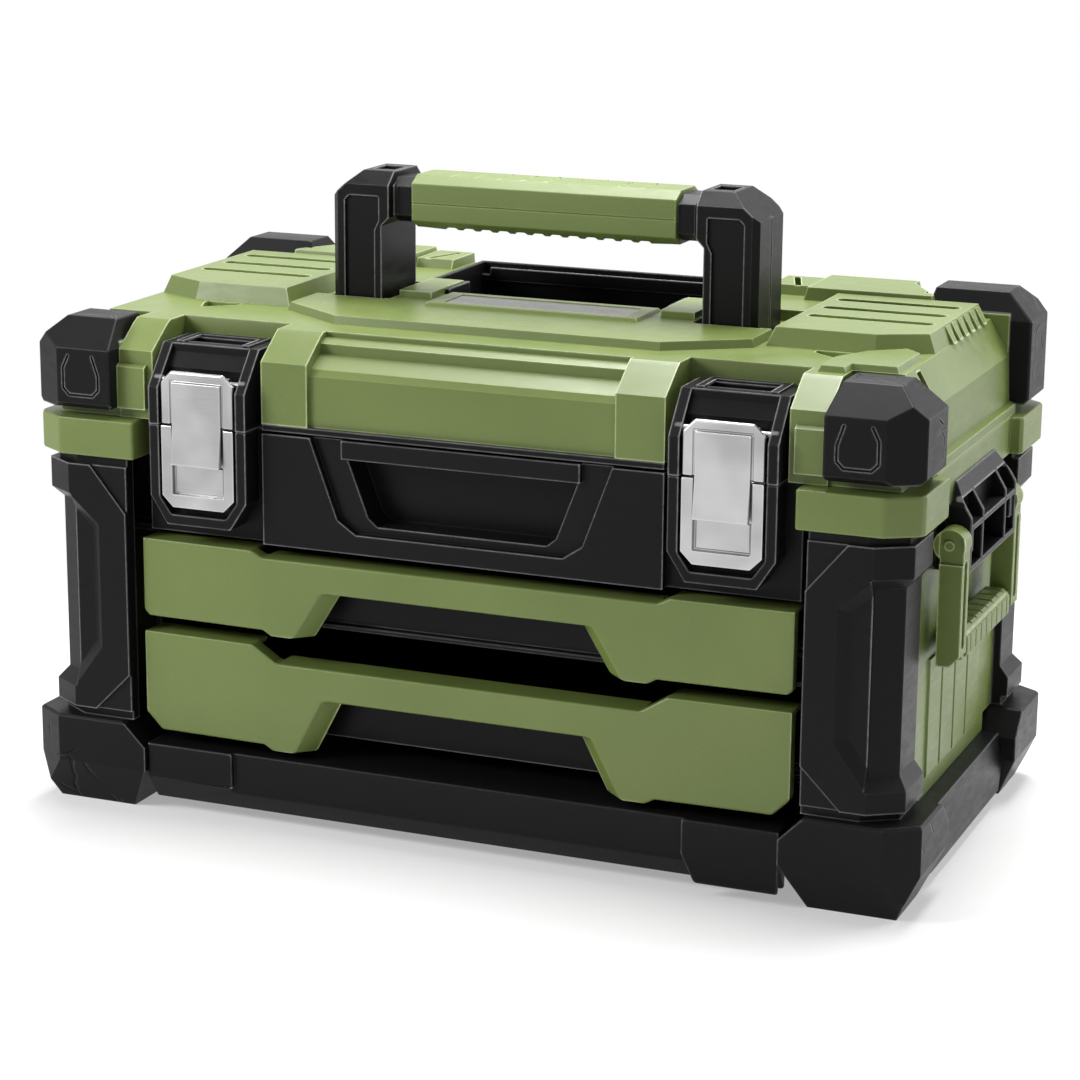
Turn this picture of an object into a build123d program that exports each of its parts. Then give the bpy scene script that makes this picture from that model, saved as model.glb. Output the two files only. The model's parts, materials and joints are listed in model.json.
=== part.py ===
"""Portable tool box: a lift-up lid over a top tray, two drawers below, a telescoping carry handle.

Frame: +X to the right, +Y to the back, +Z up. The origin is on the ground under the centre of the box.
"""
import math
import os

from build123d import *

os.makedirs("parts", exist_ok=True)

# ---------------------------------------------------------------- driving sizes, millimetres
# Overall box, measured over the green collar and the lid's corner caps.
CASE_W = 560.0
CASE_D = 304.0
CUT_X = 20.0            # vertical corner chamfer, along X
CUT_Y = 13.0            # vertical corner chamfer, along Y
FIT = 0.3               # gap between pieces of different moving bodies
PIN_GAP = 0.05          # radial clearance of every pin in its hole

# Height levels above the ground.
FOOT_TOP = 58.0
PLINTH_BOTTOM = 8.0
PLINTH_TOP = 46.0
TUB_BOTTOM = 178.0
COLLAR_BOTTOM = 224.5
SEAM_Z = 248.0
LID_FRONT_Z = 306.0     # lid surface over the latches
LID_MAIN_Z = 311.0      # raised middle of the lid
LID_DECK_Z = 317.0      # slotted decks
CAP_FRONT_Z = 307.0
CAP_REAR_Z = 322.0

# Feet.
FOOT_PROUD_X = 6.0
FOOT_PROUD_Y = 2.0
FOOT_L = 81.0           # along X
FOOT_D = 72.0           # along Y
FOOT_KINK_Z = 28.0
FOOT_TOE = 13.0         # how far the toe slopes in
FOOT_EAR = 15.0         # chamfer of the inner ends

# Corner pillars.
PILLAR_SET_X = 5.0
PILLAR_SET_Y = 1.0
PILLAR_W = 59.0
PILLAR_D = 50.0
PILLAR_WALL = 11.0
PILLAR_GAP = 5.5        # height of the shadow gaps above and below
PILLAR_NECK = 4.0
PILLAR_FILL = 10.0      # chamfer of the inside corner, where the case walls stop
WAIST_W = 40.0
WAIST_DEPTH = 5.5
WAIST_RAMP = 7.0        # run of the sloped walls round the waist
WAIST_SLOPE = 18.0
WAIST_LOW = 13.0        # from the pillar's bottom to the waist
WAIST_HIGH = 19.0       # from the waist to the pillar's top
GUSSET = 24.0
GUSSET_DEPTH = 2.0

# Case walls.
PANEL_T = 6.0
PANEL_RIB_W = 26.0
PANEL_RIB_PITCH = 30.0
PANEL_RIB_COUNT = 4
PANEL_RIB_T = 1.5
BACK_RIB_W = 14.0
BACK_RIB_COUNT = 7
PLINTH_WALL = 5.0
PLINTH_SKIRT = 12.0     # thickness of the front and rear skirts
PLINTH_RIB_H = 8.0
SKIRT_LEAN = 11.5       # how far the lower half of the skirt slopes in
SKIRT_STEP_X = 146.0
SKIRT_STEP = 3.0
SKIRT_SET = 4.0
SKIRT_HALF_H = 17.0

# Green collar around the top of the case.
STRIP_SET_X = 8.0
STRIP_SET_Y = 6.0
COLLAR_FRONT_W = 71.0   # front corner blocks, along X
COLLAR_BLOCK_D = 66.0   # corner blocks, along Y
COLLAR_BEVEL = 2.0

# Top tray (tub) and the front panel with its grip recess.
TUB_WALL = 3.0
TUB_FRONT_SET = 42.0
FASCIA_SET = 24.0
FASCIA_T = 4.0
GRIP_PANEL_SET = 12.5
GRIP_WALL = 4.0
RECESS_TOP_W = 192.0
RECESS_BOTTOM_W = 152.0
RECESS_LIP = 12.0       # panel height left below the recess
RECESS_STEP = 5.0
RECESS_BORDER = 16.0
RECESS_DEPTH = 25.0
RECESS_ROOF = 9.0

# Drawers.
DRAWER_MARGIN = 71.5    # from the box's side to the drawer front
DRAWER_SET = 7.0
DRAWER_PLATE = 10.0
DRAWER_LIP = 22.0
DRAWER_LIP_T = 3.0
DRAWER_CHAMFER = 3.0
DRAWER_DROP = 3.0
DRAWER_CREASE = 1.6     # the outer ends of a front lean back by this much
NOTCH_BOTTOM_W = 212.8
NOTCH_TOP_W = 175.8
NOTCH_FLANK = 11.5
NOTCH_EDGE = 0.5
UPPER_DRAWER = dict(bottom=125.7, top=174.9, dip=3.8, dip_run=7.3, notch=152.7, ear=DRAWER_CHAMFER)
LOWER_DRAWER = dict(bottom=53.0, top=116.0, dip=10.3, dip_run=16.3, notch=85.4, ear=10.5)
STEP_X = 133.9          # where the drawers' top edge steps down
TRAY_INSET = 11.5       # the tray is narrower than the front by this much a side
TRAY_BACK_GAP = 14.0
TRAY_WALL = 2.5
TRAY_UNDER = 2.5        # tray bottom above the front's bottom edge
TRAY_SIDE_DROP = 6.0    # tray rim below the front's lowered top edge
SCOOP_W = 204.0
SCOOP_DEPTH = 17.0
SCOOP_HEAD = 4.0
CHEEK_T = 4.0
RUNNER_T = 4.0
RUNNER_UP = 16.0        # runner rail above the tray's bottom
RUNNER_PLAY = 0.3
DIVIDER_T = 3.0

# Lid shell.
LIP_H = 6.0
LID_SIDE_SET = 12.0
LID_KINK_Z = 284.0
LID_SLOPE = 14.0
LID_ROOF = 5.0
LID_WALL = 5.0
LID_BACK_SET = 8.0
APRON_TOP_Z = 290.0
APRON_BEVEL_Y = 19.5
APRON_BEVEL_Z = 14.0
APRON_PANEL_W = 195.0
APRON_SUNK_DEPTH = 3.0
APRON_STRIP = 4.0       # black strip under the apron
POCKET_BACK_SET = 52.0
POCKET_BEVEL = 9.0
STRAP_SET = 9.0
STRAP_TOP_Z = 280.0
STRAP_RUN = 30.0
STRAP_RISE = 18.0
DECK_IN = 120.0         # from the box's side to the deck's inner edge
DECK_OUT = 31.0         # and to its outer edge
DECK_Y0 = -42.0
DECK_BACK = 60.0        # from the lid's back
DECK_CORNER_X = 28.0
DECK_CORNER_Y = 14.0
DECK_RIB_W = 7.0
DECK_RIB_PITCH = 14.0
DECK_RIB_COUNT = 6
DECK_RIB_OUT = 5.0
SLOT_MARGIN = 6.0
SLOT_W = 9.0
SLOT_DEPTH = 4.0
SLOT_PITCH = 30.0
SLOT_COUNT = 3
SLOT_FIRST_Y = 3.0
MIDDLE_FRONT_W = 210.0
MIDDLE_FRONT_Y = -88.0
MIDDLE_SIDE_Y = -56.0
RIDGE_TOP_Z = 309.5     # raised collar behind a front cap
RIDGE_BACK_Y = -36.0
RIDGE_TAPER = 25.0
RIDGE_IN = 18.0         # width over the front lid, beside the cap
RIDGE_OUT = 27.0        # width behind the cap
RIDGE_STEP = 12.0
NOTCH_L = 20.0
NOTCH_DEPTH = 4.0
GILL_Y = -78.0          # short slot in the lid's side slope
GILL_W = 8.0
GILL_DEPTH = 2.5
COVER_SET = 5.0
HINGE_COVER_D = 52.0
HINGE_COVER_UP = 2.0
HINGE_COVER_W = 80.0
HINGE_COVER_CUT = 22.0  # slanted outer end
HINGE_SIDE_W = 26.0
HINGE_SIDE_GAP = 3.0

# Lid corner caps.
CAP_W = 56.0
CAP_REAR_W = 68.0
CAP_L = 55.0
CAP_BOTTOM_GAP = 5.5
CAP_EDGE_Z = 16.5       # height of the sloped shoulders
CAP_SLOPE_X = 17.0
CAP_SLOPE_Y = 19.0
CAP_INNER_SLOPE = 9.0
CAP_WALL = 14.0
CAP_ROOF = 13.0
CAP_SOFT = 1.8          # rounding of the guard's edges
GROOVE_W = 1.4
GROOVE_DEPTH = 1.0
LINE_IN = 8.0           # engraved lines stand this far inside an edge
LINE_CORNER = 4.0

# Well behind the handle, and the raised name-free plate in front of it.
WELL_W = 200.0
WELL_Y0 = 10.0
WELL_BACK = 17.0        # from the lid's back
WELL_WALL = 3.0
WELL_FLOOR_Z = 264.0
WELL_RIM = 3.0
LEDGE_W = 24.0          # the lid stands beside the well's front end
LEDGE_L = 32.0
LEDGE_FRONT = 18.0
LEDGE_UP = 4.0
PLATE_W = 140.0
PLATE_Y0 = -32.0
PLATE_UP = 2.0
INSET_W = 120.0
INSET_MARGIN = 6.0
INSET_T = 1.5

# Carry handle, shown pulled up.
POST_OUT = 140.0
POST_KNEE = 5.0         # the head is this much wider than the stem
POST_HEAD_W = 39.0
POST_Y0 = -17.4
POST_D = 51.4
POST_TOP_Z = 389.0
POST_KNEE_Z = 356.0
POST_CHAMFER_X = 18.0
POST_CHAMFER_Z = 16.0
POST_BEVEL_Y = 9.0
POST_BEVEL_Z = 8.0
POST_EDGE = 4.0
SUNK_FOOT = 5.0         # sunk field on the front and back of a post
SUNK_EDGE = 9.0
SUNK_DROP = 15.0
SUNK_CORNER = 3.0
SUNK_DEPTH = 2.0
POST_DISH_W = 14.0
POST_DISH_L = 18.0
POST_TAIL = 26.0        # stem inside its sleeve, handle up
HANDLE_TRAVEL = 40.0
SLEEVE_GAP = 0.4
SLEEVE_WALL = 3.0
PIT_MARGIN_X = 12.0
PIT_MARGIN_Y = 13.0
PIT_DEPTH = 7.0
LINER_BORDER = 8.0
LINER_SINK = 1.5
GRIP_L = 174.0
GRIP_Y0 = -14.0
GRIP_D = 42.0
GRIP_BOTTOM_Z = 355.0
GRIP_TOP_Z = 388.0
GRIP_SEAM_Z = 371.0
GRIP_CHAMFER_Y = 9.0
GRIP_CHAMFER_Z = 5.0
TOP_GROOVE_COUNT = 9
TOP_GROOVE_W = 2.0
FINGER_GROOVE_COUNT = 12
FINGER_GROOVE_DEPTH = 0.9
FINGER_GROOVE_W = 7.0
CORE_R = 6.0
CORE_SOCKET = 20.0      # bore in each post's head
CORE_END_GAP = 1.0
COLLAR_INSET = 2.5

# Draw latches.
LATCH_INSET = 114.0     # from the box's side to the latch centre
LATCH_TO_GRIP = 38.2
LATCH_TO_STRAP = 35.0
LATCH_W = 48.5
LATCH_SET = 2.0         # front plane behind the box's front
LATCH_T = 3.0
LATCH_TOP_Z = 281.5
LATCH_BOTTOM_Z = 198.0
LATCH_EAR = 7.0
LATCH_BORDER = 6.2
LATCH_GROOVE = 1.2
LATCH_EDGE = 1.0
TONGUE_W = 33.0
TONGUE_BOTTOM_Z = 225.0
TONGUE_TOP_Z = 275.0
TONGUE_KICK = 3.0
TONGUE_RAISE = 1.0
TONGUE_PLAY = 0.8
KEEPER_SILL_Z = 206.0
LATCH_PIVOT_Z = 275.0
LATCH_PIVOT_BACK = 7.0
LATCH_PIN_R = 1.8
LATCH_EYE_R = 3.6
BEZEL_W = 65.0
BEZEL_BOTTOM_Z = 187.0
BEZEL_KINK_Z = 204.0
BEZEL_EAR = 11.0
BEZEL_SIDE = 6.5
BEZEL_FLOOR_SET = 7.0
HOUSING_TOP_Z = 295.0
HOUSING_KINK_Z = 271.0
HOUSING_SLOPE_Y = 20.0
HOUSING_RIM = 8.0
HOUSING_STOP = 2.5
HOUSING_BACK = 3.5      # from the pivot eyes to the back wall

# Side handles: a drop bail under a ribbed bracket.
BAIL_PROUD = 5.0        # outer face beyond the box's side
BAIL_T = 14.0
BAIL_ARM_W = 15.0
BAIL_HALF = 70.0
BAIL_PIVOT_Z = 203.0
BAIL_BOTTOM_Z = 131.0
BAIL_EYE_R = 9.5
BAIL_BAR_H = 15.0
BAIL_CORNER = 6.0
BAIL_CHANNEL_W = 7.0
BAIL_CHANNEL_DEPTH = 5.0
BAIL_HEAD_STEP = 1.5
BAIL_EYE_WALL = 4.0     # the eyes are closed on the outside
SIDE_GRIP_HALF = 50.0
SIDE_GRIP_D = 19.0
SIDE_RIB_COUNT = 8
SIDE_PIN_R = 3.0
BRACKET_HALF = 54.0
BRACKET_BOTTOM_Z = 184.0
BRACKET_TOP_Z = 236.0
BRACKET_WALL = 3.0
BRACKET_RIB_Y = 27.0
BRACKET_SLOPE = 12.0
BRACKET_SLOPE_H = 20.0
BRACKET_ROOF = 9.0
BRACKET_EAR = 9.0

# Rear hinge.
HINGE_BACK_SET = 3.0
HINGE_Z = 256.0
HINGE_R = 4.5
HINGE_PIN_R = 2.0
HINGE_INSET = 118.0     # from the box's side to the hinge's middle
HINGE_L = 88.0
LID_SCREW_UP = 20.0
CASE_SCREW_DOWN = 14.0
HINGE_END = 22.0
HINGE_LEAF_T = 3.0
SCREW_R = 1.75
SCREW_L = 9.0
SCREW_HEAD_R = 3.6
SCREW_HEAD_H = 2.0

# ---------------------------------------------------------------- values worked out from them
HALF_W = CASE_W / 2
HALF_D = CASE_D / 2
LATCH_X = HALF_W - LATCH_INSET
GRIP_PANEL_W = 2 * (LATCH_X - LATCH_TO_GRIP)
DRAWER_W = 2 * (HALF_W - DRAWER_MARGIN)
FASCIA_W = DRAWER_W
TRAY_W = DRAWER_W - 2 * TRAY_INSET
BAIL_REACH = HALF_W + BAIL_PROUD
DECK_X0 = HALF_W - DECK_IN
DECK_X1 = HALF_W - DECK_OUT
SLOT_X0 = DECK_X0 + SLOT_MARGIN
SLOT_X1 = DECK_X1 - SLOT_MARGIN
HINGE_X = HALF_W - HINGE_INSET
PILLAR_X = HALF_W - PILLAR_SET_X
PILLAR_Y = HALF_D - PILLAR_SET_Y
WALL_X = PILLAR_X - PILLAR_WALL         # outer face of the side panels
WALL_Y = PILLAR_Y - PILLAR_WALL         # outer face of the back panel
INNER_X = WALL_X - PANEL_T
INNER_Y = WALL_Y - PANEL_T
STRIP_X = HALF_W - STRIP_SET_X
STRIP_Y = HALF_D - STRIP_SET_Y
TUB_FRONT = -HALF_D + TUB_FRONT_SET
FASCIA_Y = -HALF_D + FASCIA_SET
LID_Z = SEAM_Z + FIT
POCKET_X0 = GRIP_PANEL_W / 2
POCKET_X1 = LATCH_X + LATCH_TO_STRAP
CAVITY_Y = -HALF_D + POCKET_BACK_SET + LID_WALL     # front of the lid's main hollow
LID_SIDE_X = HALF_W - LID_SIDE_SET
LID_BACK_Y = HALF_D - LID_BACK_SET
WELL_Y1 = LID_BACK_Y - WELL_BACK
DECK_Y1 = LID_BACK_Y - DECK_BACK
APRON_Y = -HALF_D + GRIP_PANEL_SET
LATCH_Y = -HALF_D + LATCH_SET
DRAWER_Y = -HALF_D + DRAWER_SET
TRAY_Y = DRAWER_Y + DRAWER_PLATE
POST_Y1 = POST_Y0 + POST_D
STEM_IN = POST_OUT - POST_HEAD_W + POST_KNEE
HEAD_IN = POST_OUT - POST_HEAD_W
HINGE_Y = HALF_D - HINGE_BACK_SET
PIT_Z = LID_MAIN_Z - PIT_DEPTH


# ---------------------------------------------------------------- shape helpers
def prism_x(points, start, end, mode=Mode.ADD):
    """Extrude a (y, z) outline along X from start to end."""
    with BuildSketch(Plane.YZ.offset(start)) as profile:
        Polygon(*points)
    extrude(profile.sketch, amount=end - start, dir=(1, 0, 0), mode=mode)


def prism_y(points, start, end, mode=Mode.ADD):
    """Extrude an (x, z) outline along Y from start to end."""
    with BuildSketch(Plane.XZ.offset(-start)) as profile:
        Polygon(*points)
    extrude(profile.sketch, amount=end - start, dir=(0, 1, 0), mode=mode)


def prism_z(points, start, end, mode=Mode.ADD):
    """Extrude an (x, y) outline along Z from start to end."""
    with BuildSketch(Plane.XY.offset(start)) as profile:
        Polygon(*points)
    extrude(profile.sketch, amount=end - start, dir=(0, 0, 1), mode=mode)


def block(x0, x1, y0, y1, z0, z1, mode=Mode.ADD):
    """Rectangular block between two corners."""
    prism_z([(x0, y0), (x1, y0), (x1, y1), (x0, y1)], z0, z1, mode)


def both_sides(points):
    """Close a right-hand outline with its mirror image about x = 0."""
    return points + [(-x, z) for x, z in reversed(points)]


def rod_x(x0, x1, y, z, radius, mode=Mode.ADD):
    """Round bar or hole along X."""
    with BuildSketch(Plane.YZ.offset(x0)) as profile:
        with Locations((y, z)):
            Circle(radius)
    extrude(profile.sketch, amount=x1 - x0, dir=(1, 0, 0), mode=mode)


def rod_y(y0, y1, x, z, radius, mode=Mode.ADD):
    """Round bar or hole along Y."""
    with BuildSketch(Plane.XZ.offset(-y0)) as profile:
        with Locations((x, z)):
            Circle(radius)
    extrude(profile.sketch, amount=y1 - y0, dir=(0, 1, 0), mode=mode)


def groove(plane, points, direction):
    """Engrave a fine line along a path drawn on a plane."""
    with BuildSketch(plane) as line:
        with BuildLine():
            Polyline(*points)
        trace(line_width=GROOVE_W)
    extrude(line.sketch, amount=GROOVE_DEPTH, dir=direction, mode=Mode.SUBTRACT)


def corner_outline(x_in, x_out, y_in, y_out):
    """Plan of a front-right corner piece, with the box's vertical corner chamfer."""
    return [(x_in, -y_out), (x_out - CUT_X, -y_out), (x_out, CUT_Y - y_out), (x_out, -y_in), (x_in, -y_in)]


def mirrored(piece, plane):
    """The same piece on the other side of the box."""
    with BuildPart() as copy:
        mirror(piece.part, about=plane)
    return copy


def save(piece, label):
    """Name a finished piece and write its file."""
    piece.part.label = label
    export_step(piece.part, f"parts/{label}.step")


def save_pair(right_piece, label):
    """Write a piece and its mirror image on the left."""
    save(right_piece, f"{label}_right")
    save(mirrored(right_piece, Plane.YZ), f"{label}_left")


def save_corners(front_right, label):
    """Write the four corner pieces made from the front right one."""
    rear_right = mirrored(front_right, Plane.XZ)
    save_pair(front_right, f"{label}_front")
    save_pair(rear_right, f"{label}_rear")


# ---------------------------------------------------------------- case: feet, plinth, pillars, walls
FOOT_X = HALF_W + FOOT_PROUD_X
FOOT_Y = HALF_D + FOOT_PROUD_Y
FOOT_IN_X = FOOT_X - FOOT_L
FOOT_IN_Y = FOOT_Y - FOOT_D


def make_foot():
    """Corner foot: a block with sloped toes and chamfered inner ends."""
    with BuildPart() as foot:
        prism_z(corner_outline(FOOT_IN_X, FOOT_X, FOOT_IN_Y, FOOT_Y), 0, FOOT_TOP)
        front = [
            (FOOT_IN_X, FOOT_KINK_Z), (FOOT_IN_X, FOOT_TOP - FOOT_EAR), (FOOT_IN_X + FOOT_EAR, FOOT_TOP),
            (FOOT_X, FOOT_TOP), (FOOT_X, FOOT_KINK_Z), (FOOT_X - FOOT_TOE, 0), (FOOT_IN_X + FOOT_EAR, 0),
        ]
        prism_y(front, -FOOT_Y, -FOOT_IN_Y, Mode.INTERSECT)
        side = [
            (-FOOT_Y, FOOT_KINK_Z), (-FOOT_Y, FOOT_TOP), (-FOOT_IN_Y - FOOT_EAR, FOOT_TOP),
            (-FOOT_IN_Y, FOOT_TOP - FOOT_EAR), (-FOOT_IN_Y, FOOT_KINK_Z), (-FOOT_IN_Y - FOOT_EAR, 0),
            (FOOT_TOE - FOOT_Y, 0),
        ]
        prism_x(side, FOOT_IN_X, FOOT_X, Mode.INTERSECT)
        chamfer(foot.faces().sort_by(Axis.Z)[-1].edges(), 1.5)
    return foot


def make_plinth():
    """Base tray: floor, skirts with raised end segments and cross ribs underneath."""
    skirt_y = HALF_D - SKIRT_SET
    with BuildPart() as plinth:
        block(-PILLAR_X, PILLAR_X, -skirt_y, skirt_y, PLINTH_BOTTOM, PLINTH_TOP)
        inner = PILLAR_X - PLINTH_WALL
        inner_y = skirt_y - PLINTH_SKIRT
        floor_z = PLINTH_TOP - PLINTH_WALL
        block(-inner, inner, -inner_y, inner_y, PLINTH_BOTTOM, floor_z, Mode.SUBTRACT)
        for x in (-SKIRT_STEP_X, 0, SKIRT_STEP_X):
            rib = (x - PLINTH_WALL / 2, x + PLINTH_WALL / 2)
            block(*rib, -inner_y, inner_y, floor_z - PLINTH_RIB_H, PLINTH_TOP)
        for side in (-1, 1):
            raised = [
                (side * SKIRT_STEP_X, PLINTH_TOP), (side * SKIRT_STEP_X, PLINTH_BOTTOM + SKIRT_HALF_H),
                (side * (SKIRT_STEP_X + SKIRT_HALF_H / 2), PLINTH_BOTTOM),
                (side * FOOT_IN_X, PLINTH_BOTTOM), (side * FOOT_IN_X, PLINTH_TOP),
            ]
            prism_y(raised, -skirt_y - SKIRT_STEP, -skirt_y)
            prism_y(raised, skirt_y, skirt_y + SKIRT_STEP)
            outer_y = skirt_y + SKIRT_STEP
            lean = [
                (side * outer_y, PLINTH_BOTTOM + SKIRT_HALF_H), (side * outer_y, PLINTH_BOTTOM),
                (side * (outer_y - SKIRT_LEAN), PLINTH_BOTTOM),
            ]
            prism_x(lean, -PILLAR_X, PILLAR_X, Mode.SUBTRACT)
            crease = [
                (side * PILLAR_X, PLINTH_TOP), (side * PILLAR_X, PLINTH_BOTTOM),
                (side * (PILLAR_X + SKIRT_STEP / 2), PLINTH_BOTTOM),
                (side * (PILLAR_X + SKIRT_STEP), PLINTH_BOTTOM + SKIRT_HALF_H),
            ]
            prism_y(crease, -FOOT_IN_Y, FOOT_IN_Y)
        for x in (-1, 1):
            for y in (-1, 1):
                xs = sorted((x * FOOT_IN_X, x * FOOT_X))
                ys = sorted((y * FOOT_IN_Y, y * FOOT_Y))
                block(*xs, *ys, 0, FOOT_TOP, Mode.SUBTRACT)
    return plinth


def waist_corner(low, high):
    """Space that narrows a pillar's corner and flank at the waist, with sloped ends."""
    back = PILLAR_Y - PILLAR_D
    left = PILLAR_X - PILLAR_W
    full = corner_outline(left, PILLAR_X, back, PILLAR_Y)
    core = corner_outline(left, PILLAR_X - WAIST_DEPTH, back, PILLAR_Y - WAIST_DEPTH)
    with BuildPart() as space:
        block(PILLAR_X - CUT_X - 1.0, HALF_W, -HALF_D, -back, low, high)
        prism_z(core, low, high, Mode.SUBTRACT)
        for edge_z, step in ((low, WAIST_RAMP), (high, -WAIST_RAMP)):
            with BuildSketch(Plane.XY.offset(edge_z)) as wide:
                Polygon(*full)
            with BuildSketch(Plane.XY.offset(edge_z + step)) as narrow:
                Polygon(*core)
            loft([wide.sketch.face(), narrow.sketch.face()], ruled=True, mode=Mode.SUBTRACT)
    return space.part


def make_pillar():
    """Corner pillar: an L-shaped wall with a recessed waist and sunk gussets."""
    bottom = FOOT_TOP + PILLAR_GAP
    top = COLLAR_BOTTOM - PILLAR_GAP
    left = PILLAR_X - PILLAR_W
    waist_x = PILLAR_X - WAIST_W
    low = bottom + WAIST_LOW
    high = top - WAIST_HIGH
    back = PILLAR_Y - PILLAR_D
    with BuildPart() as pillar:
        prism_z(corner_outline(left, PILLAR_X, back, PILLAR_Y), bottom, top)
        beyond = PILLAR_X + WAIST_W
        waist = [
            (waist_x, low + WAIST_SLOPE * 1.5), (waist_x, high - WAIST_SLOPE),
            (PILLAR_X - CUT_X, high), (beyond, high), (beyond, low), (PILLAR_X - CUT_X, low),
        ]
        with BuildSketch(Plane.XZ.offset(PILLAR_Y)) as window:
            Polygon(*waist)
        steep = math.degrees(math.atan(WAIST_RAMP / WAIST_DEPTH))
        extrude(window.sketch, amount=WAIST_DEPTH, dir=(0, 1, 0), taper=steep, mode=Mode.SUBTRACT)
        add(waist_corner(low, high), mode=Mode.SUBTRACT)
        upper = [(left, top), (left + GUSSET, top), (left, top - GUSSET * 1.2)]
        lower = [(left, bottom), (left + GUSSET, bottom), (left, bottom + GUSSET)]
        for triangle in (upper, lower):
            prism_y(triangle, -PILLAR_Y, GUSSET_DEPTH - PILLAR_Y, Mode.SUBTRACT)
        neck_x = PILLAR_X - PILLAR_NECK
        neck_y = PILLAR_Y - PILLAR_NECK
        prism_z(corner_outline(left, neck_x, back, neck_y), FOOT_TOP, bottom)
        prism_z(corner_outline(left, neck_x, back, neck_y), top, COLLAR_BOTTOM)
        inside = [
            (left, -WALL_Y), (WALL_X - PILLAR_FILL, -WALL_Y), (WALL_X, PILLAR_FILL - WALL_Y),
            (WALL_X, -back), (left, -back),
        ]
        prism_z(inside, FOOT_TOP, COLLAR_BOTTOM, Mode.SUBTRACT)
    return pillar


def make_side_panel():
    """Green side wall with upright ribs below the handle."""
    with BuildPart() as panel:
        half = WALL_Y - PILLAR_FILL
        block(INNER_X, WALL_X, -half, half, PLINTH_TOP, COLLAR_BOTTOM)
        for side in (-1, 1):
            foot_ys = sorted((side * FOOT_IN_Y, side * FOOT_Y))
            block(FOOT_IN_X, FOOT_X, *foot_ys, 0, FOOT_TOP, Mode.SUBTRACT)
        middle = (PANEL_RIB_COUNT - 1) / 2
        for index in range(PANEL_RIB_COUNT):
            y = (index - middle) * PANEL_RIB_PITCH
            rib = [
                (y - PANEL_RIB_W / 2, FOOT_TOP), (y + PANEL_RIB_W / 2, FOOT_TOP),
                (y + PANEL_RIB_W / 2, BAIL_BOTTOM_Z), (y - PANEL_RIB_W / 2, BAIL_BOTTOM_Z),
            ]
            prism_x(rib, WALL_X, WALL_X + PANEL_RIB_T)
    return panel


def make_back_panel():
    """Green rear wall with broad upright ribs."""
    span = PILLAR_X - PILLAR_W
    with BuildPart() as panel:
        half = WALL_X - PILLAR_FILL
        block(-half, half, INNER_Y, WALL_Y, PLINTH_TOP, COLLAR_BOTTOM)
        for side in (-1, 1):
            foot_xs = sorted((side * FOOT_IN_X, side * FOOT_X))
            block(*foot_xs, FOOT_IN_Y, FOOT_Y, 0, FOOT_TOP, Mode.SUBTRACT)
        for index in range(BACK_RIB_COUNT):
            x = (index - (BACK_RIB_COUNT - 1) / 2) * span / 4
            rib = [
                (x - BACK_RIB_W / 2, FOOT_TOP), (x + BACK_RIB_W / 2, FOOT_TOP),
                (x + BACK_RIB_W / 2, COLLAR_BOTTOM - GUSSET), (x - BACK_RIB_W / 2, COLLAR_BOTTOM - GUSSET),
            ]
            prism_y(rib, WALL_Y, WALL_Y + PANEL_RIB_T)
    return panel


def hinge_holes():
    """Centres of the two hinges, left and right."""
    return (-HINGE_X, HINGE_X)


def leaf_screw_xs():
    """X positions of the hinge leaf screws."""
    offset = HINGE_L / 2 - HINGE_END / 2
    return [centre + side * offset for centre in hinge_holes() for side in (-1, 1)]


CASE_SCREW_Z = SEAM_Z - CASE_SCREW_DOWN
LID_SCREW_Z = HINGE_Z + LID_SCREW_UP


def make_collar():
    """Green band round the top of the case, open at the front between its corner blocks."""
    block_y = HALF_D - COLLAR_BLOCK_D
    with BuildPart() as collar:
        block(-STRIP_X, STRIP_X, TUB_FRONT, STRIP_Y, COLLAR_BOTTOM, SEAM_Z)
        for plane_y in (-1, 1):
            points = corner_outline(HALF_W - COLLAR_FRONT_W, HALF_W, block_y, HALF_D)
            for plane_x in (-1, 1):
                corner = [(plane_x * x, -plane_y * y) for x, y in points]
                prism_z(corner, COLLAR_BOTTOM, SEAM_Z)
        block(-INNER_X, INNER_X, TUB_FRONT, INNER_Y, COLLAR_BOTTOM, SEAM_Z, Mode.SUBTRACT)
        inner = HALF_W - COLLAR_FRONT_W
        block(-inner, inner, -HALF_D, TUB_FRONT, COLLAR_BOTTOM, SEAM_Z, Mode.SUBTRACT)
        outer = collar.edges().filter_by(Axis.Z).group_by(Axis.X)
        chamfer(outer[0] + outer[-1], COLLAR_BEVEL)
        for x in leaf_screw_xs():
            rod_y(STRIP_Y - SCREW_L, STRIP_Y, x, CASE_SCREW_Z, SCREW_R + PIN_GAP, Mode.SUBTRACT)
    return collar


def make_tub():
    """Open top tray under the lid."""
    with BuildPart() as tub:
        block(-INNER_X, INNER_X, TUB_FRONT, INNER_Y, TUB_BOTTOM, SEAM_Z)
        inner = INNER_X - TUB_WALL
        inner_ys = (TUB_FRONT + TUB_WALL, INNER_Y - TUB_WALL)
        block(-inner, inner, *inner_ys, TUB_BOTTOM + TUB_WALL, SEAM_Z, Mode.SUBTRACT)
    return tub


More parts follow.
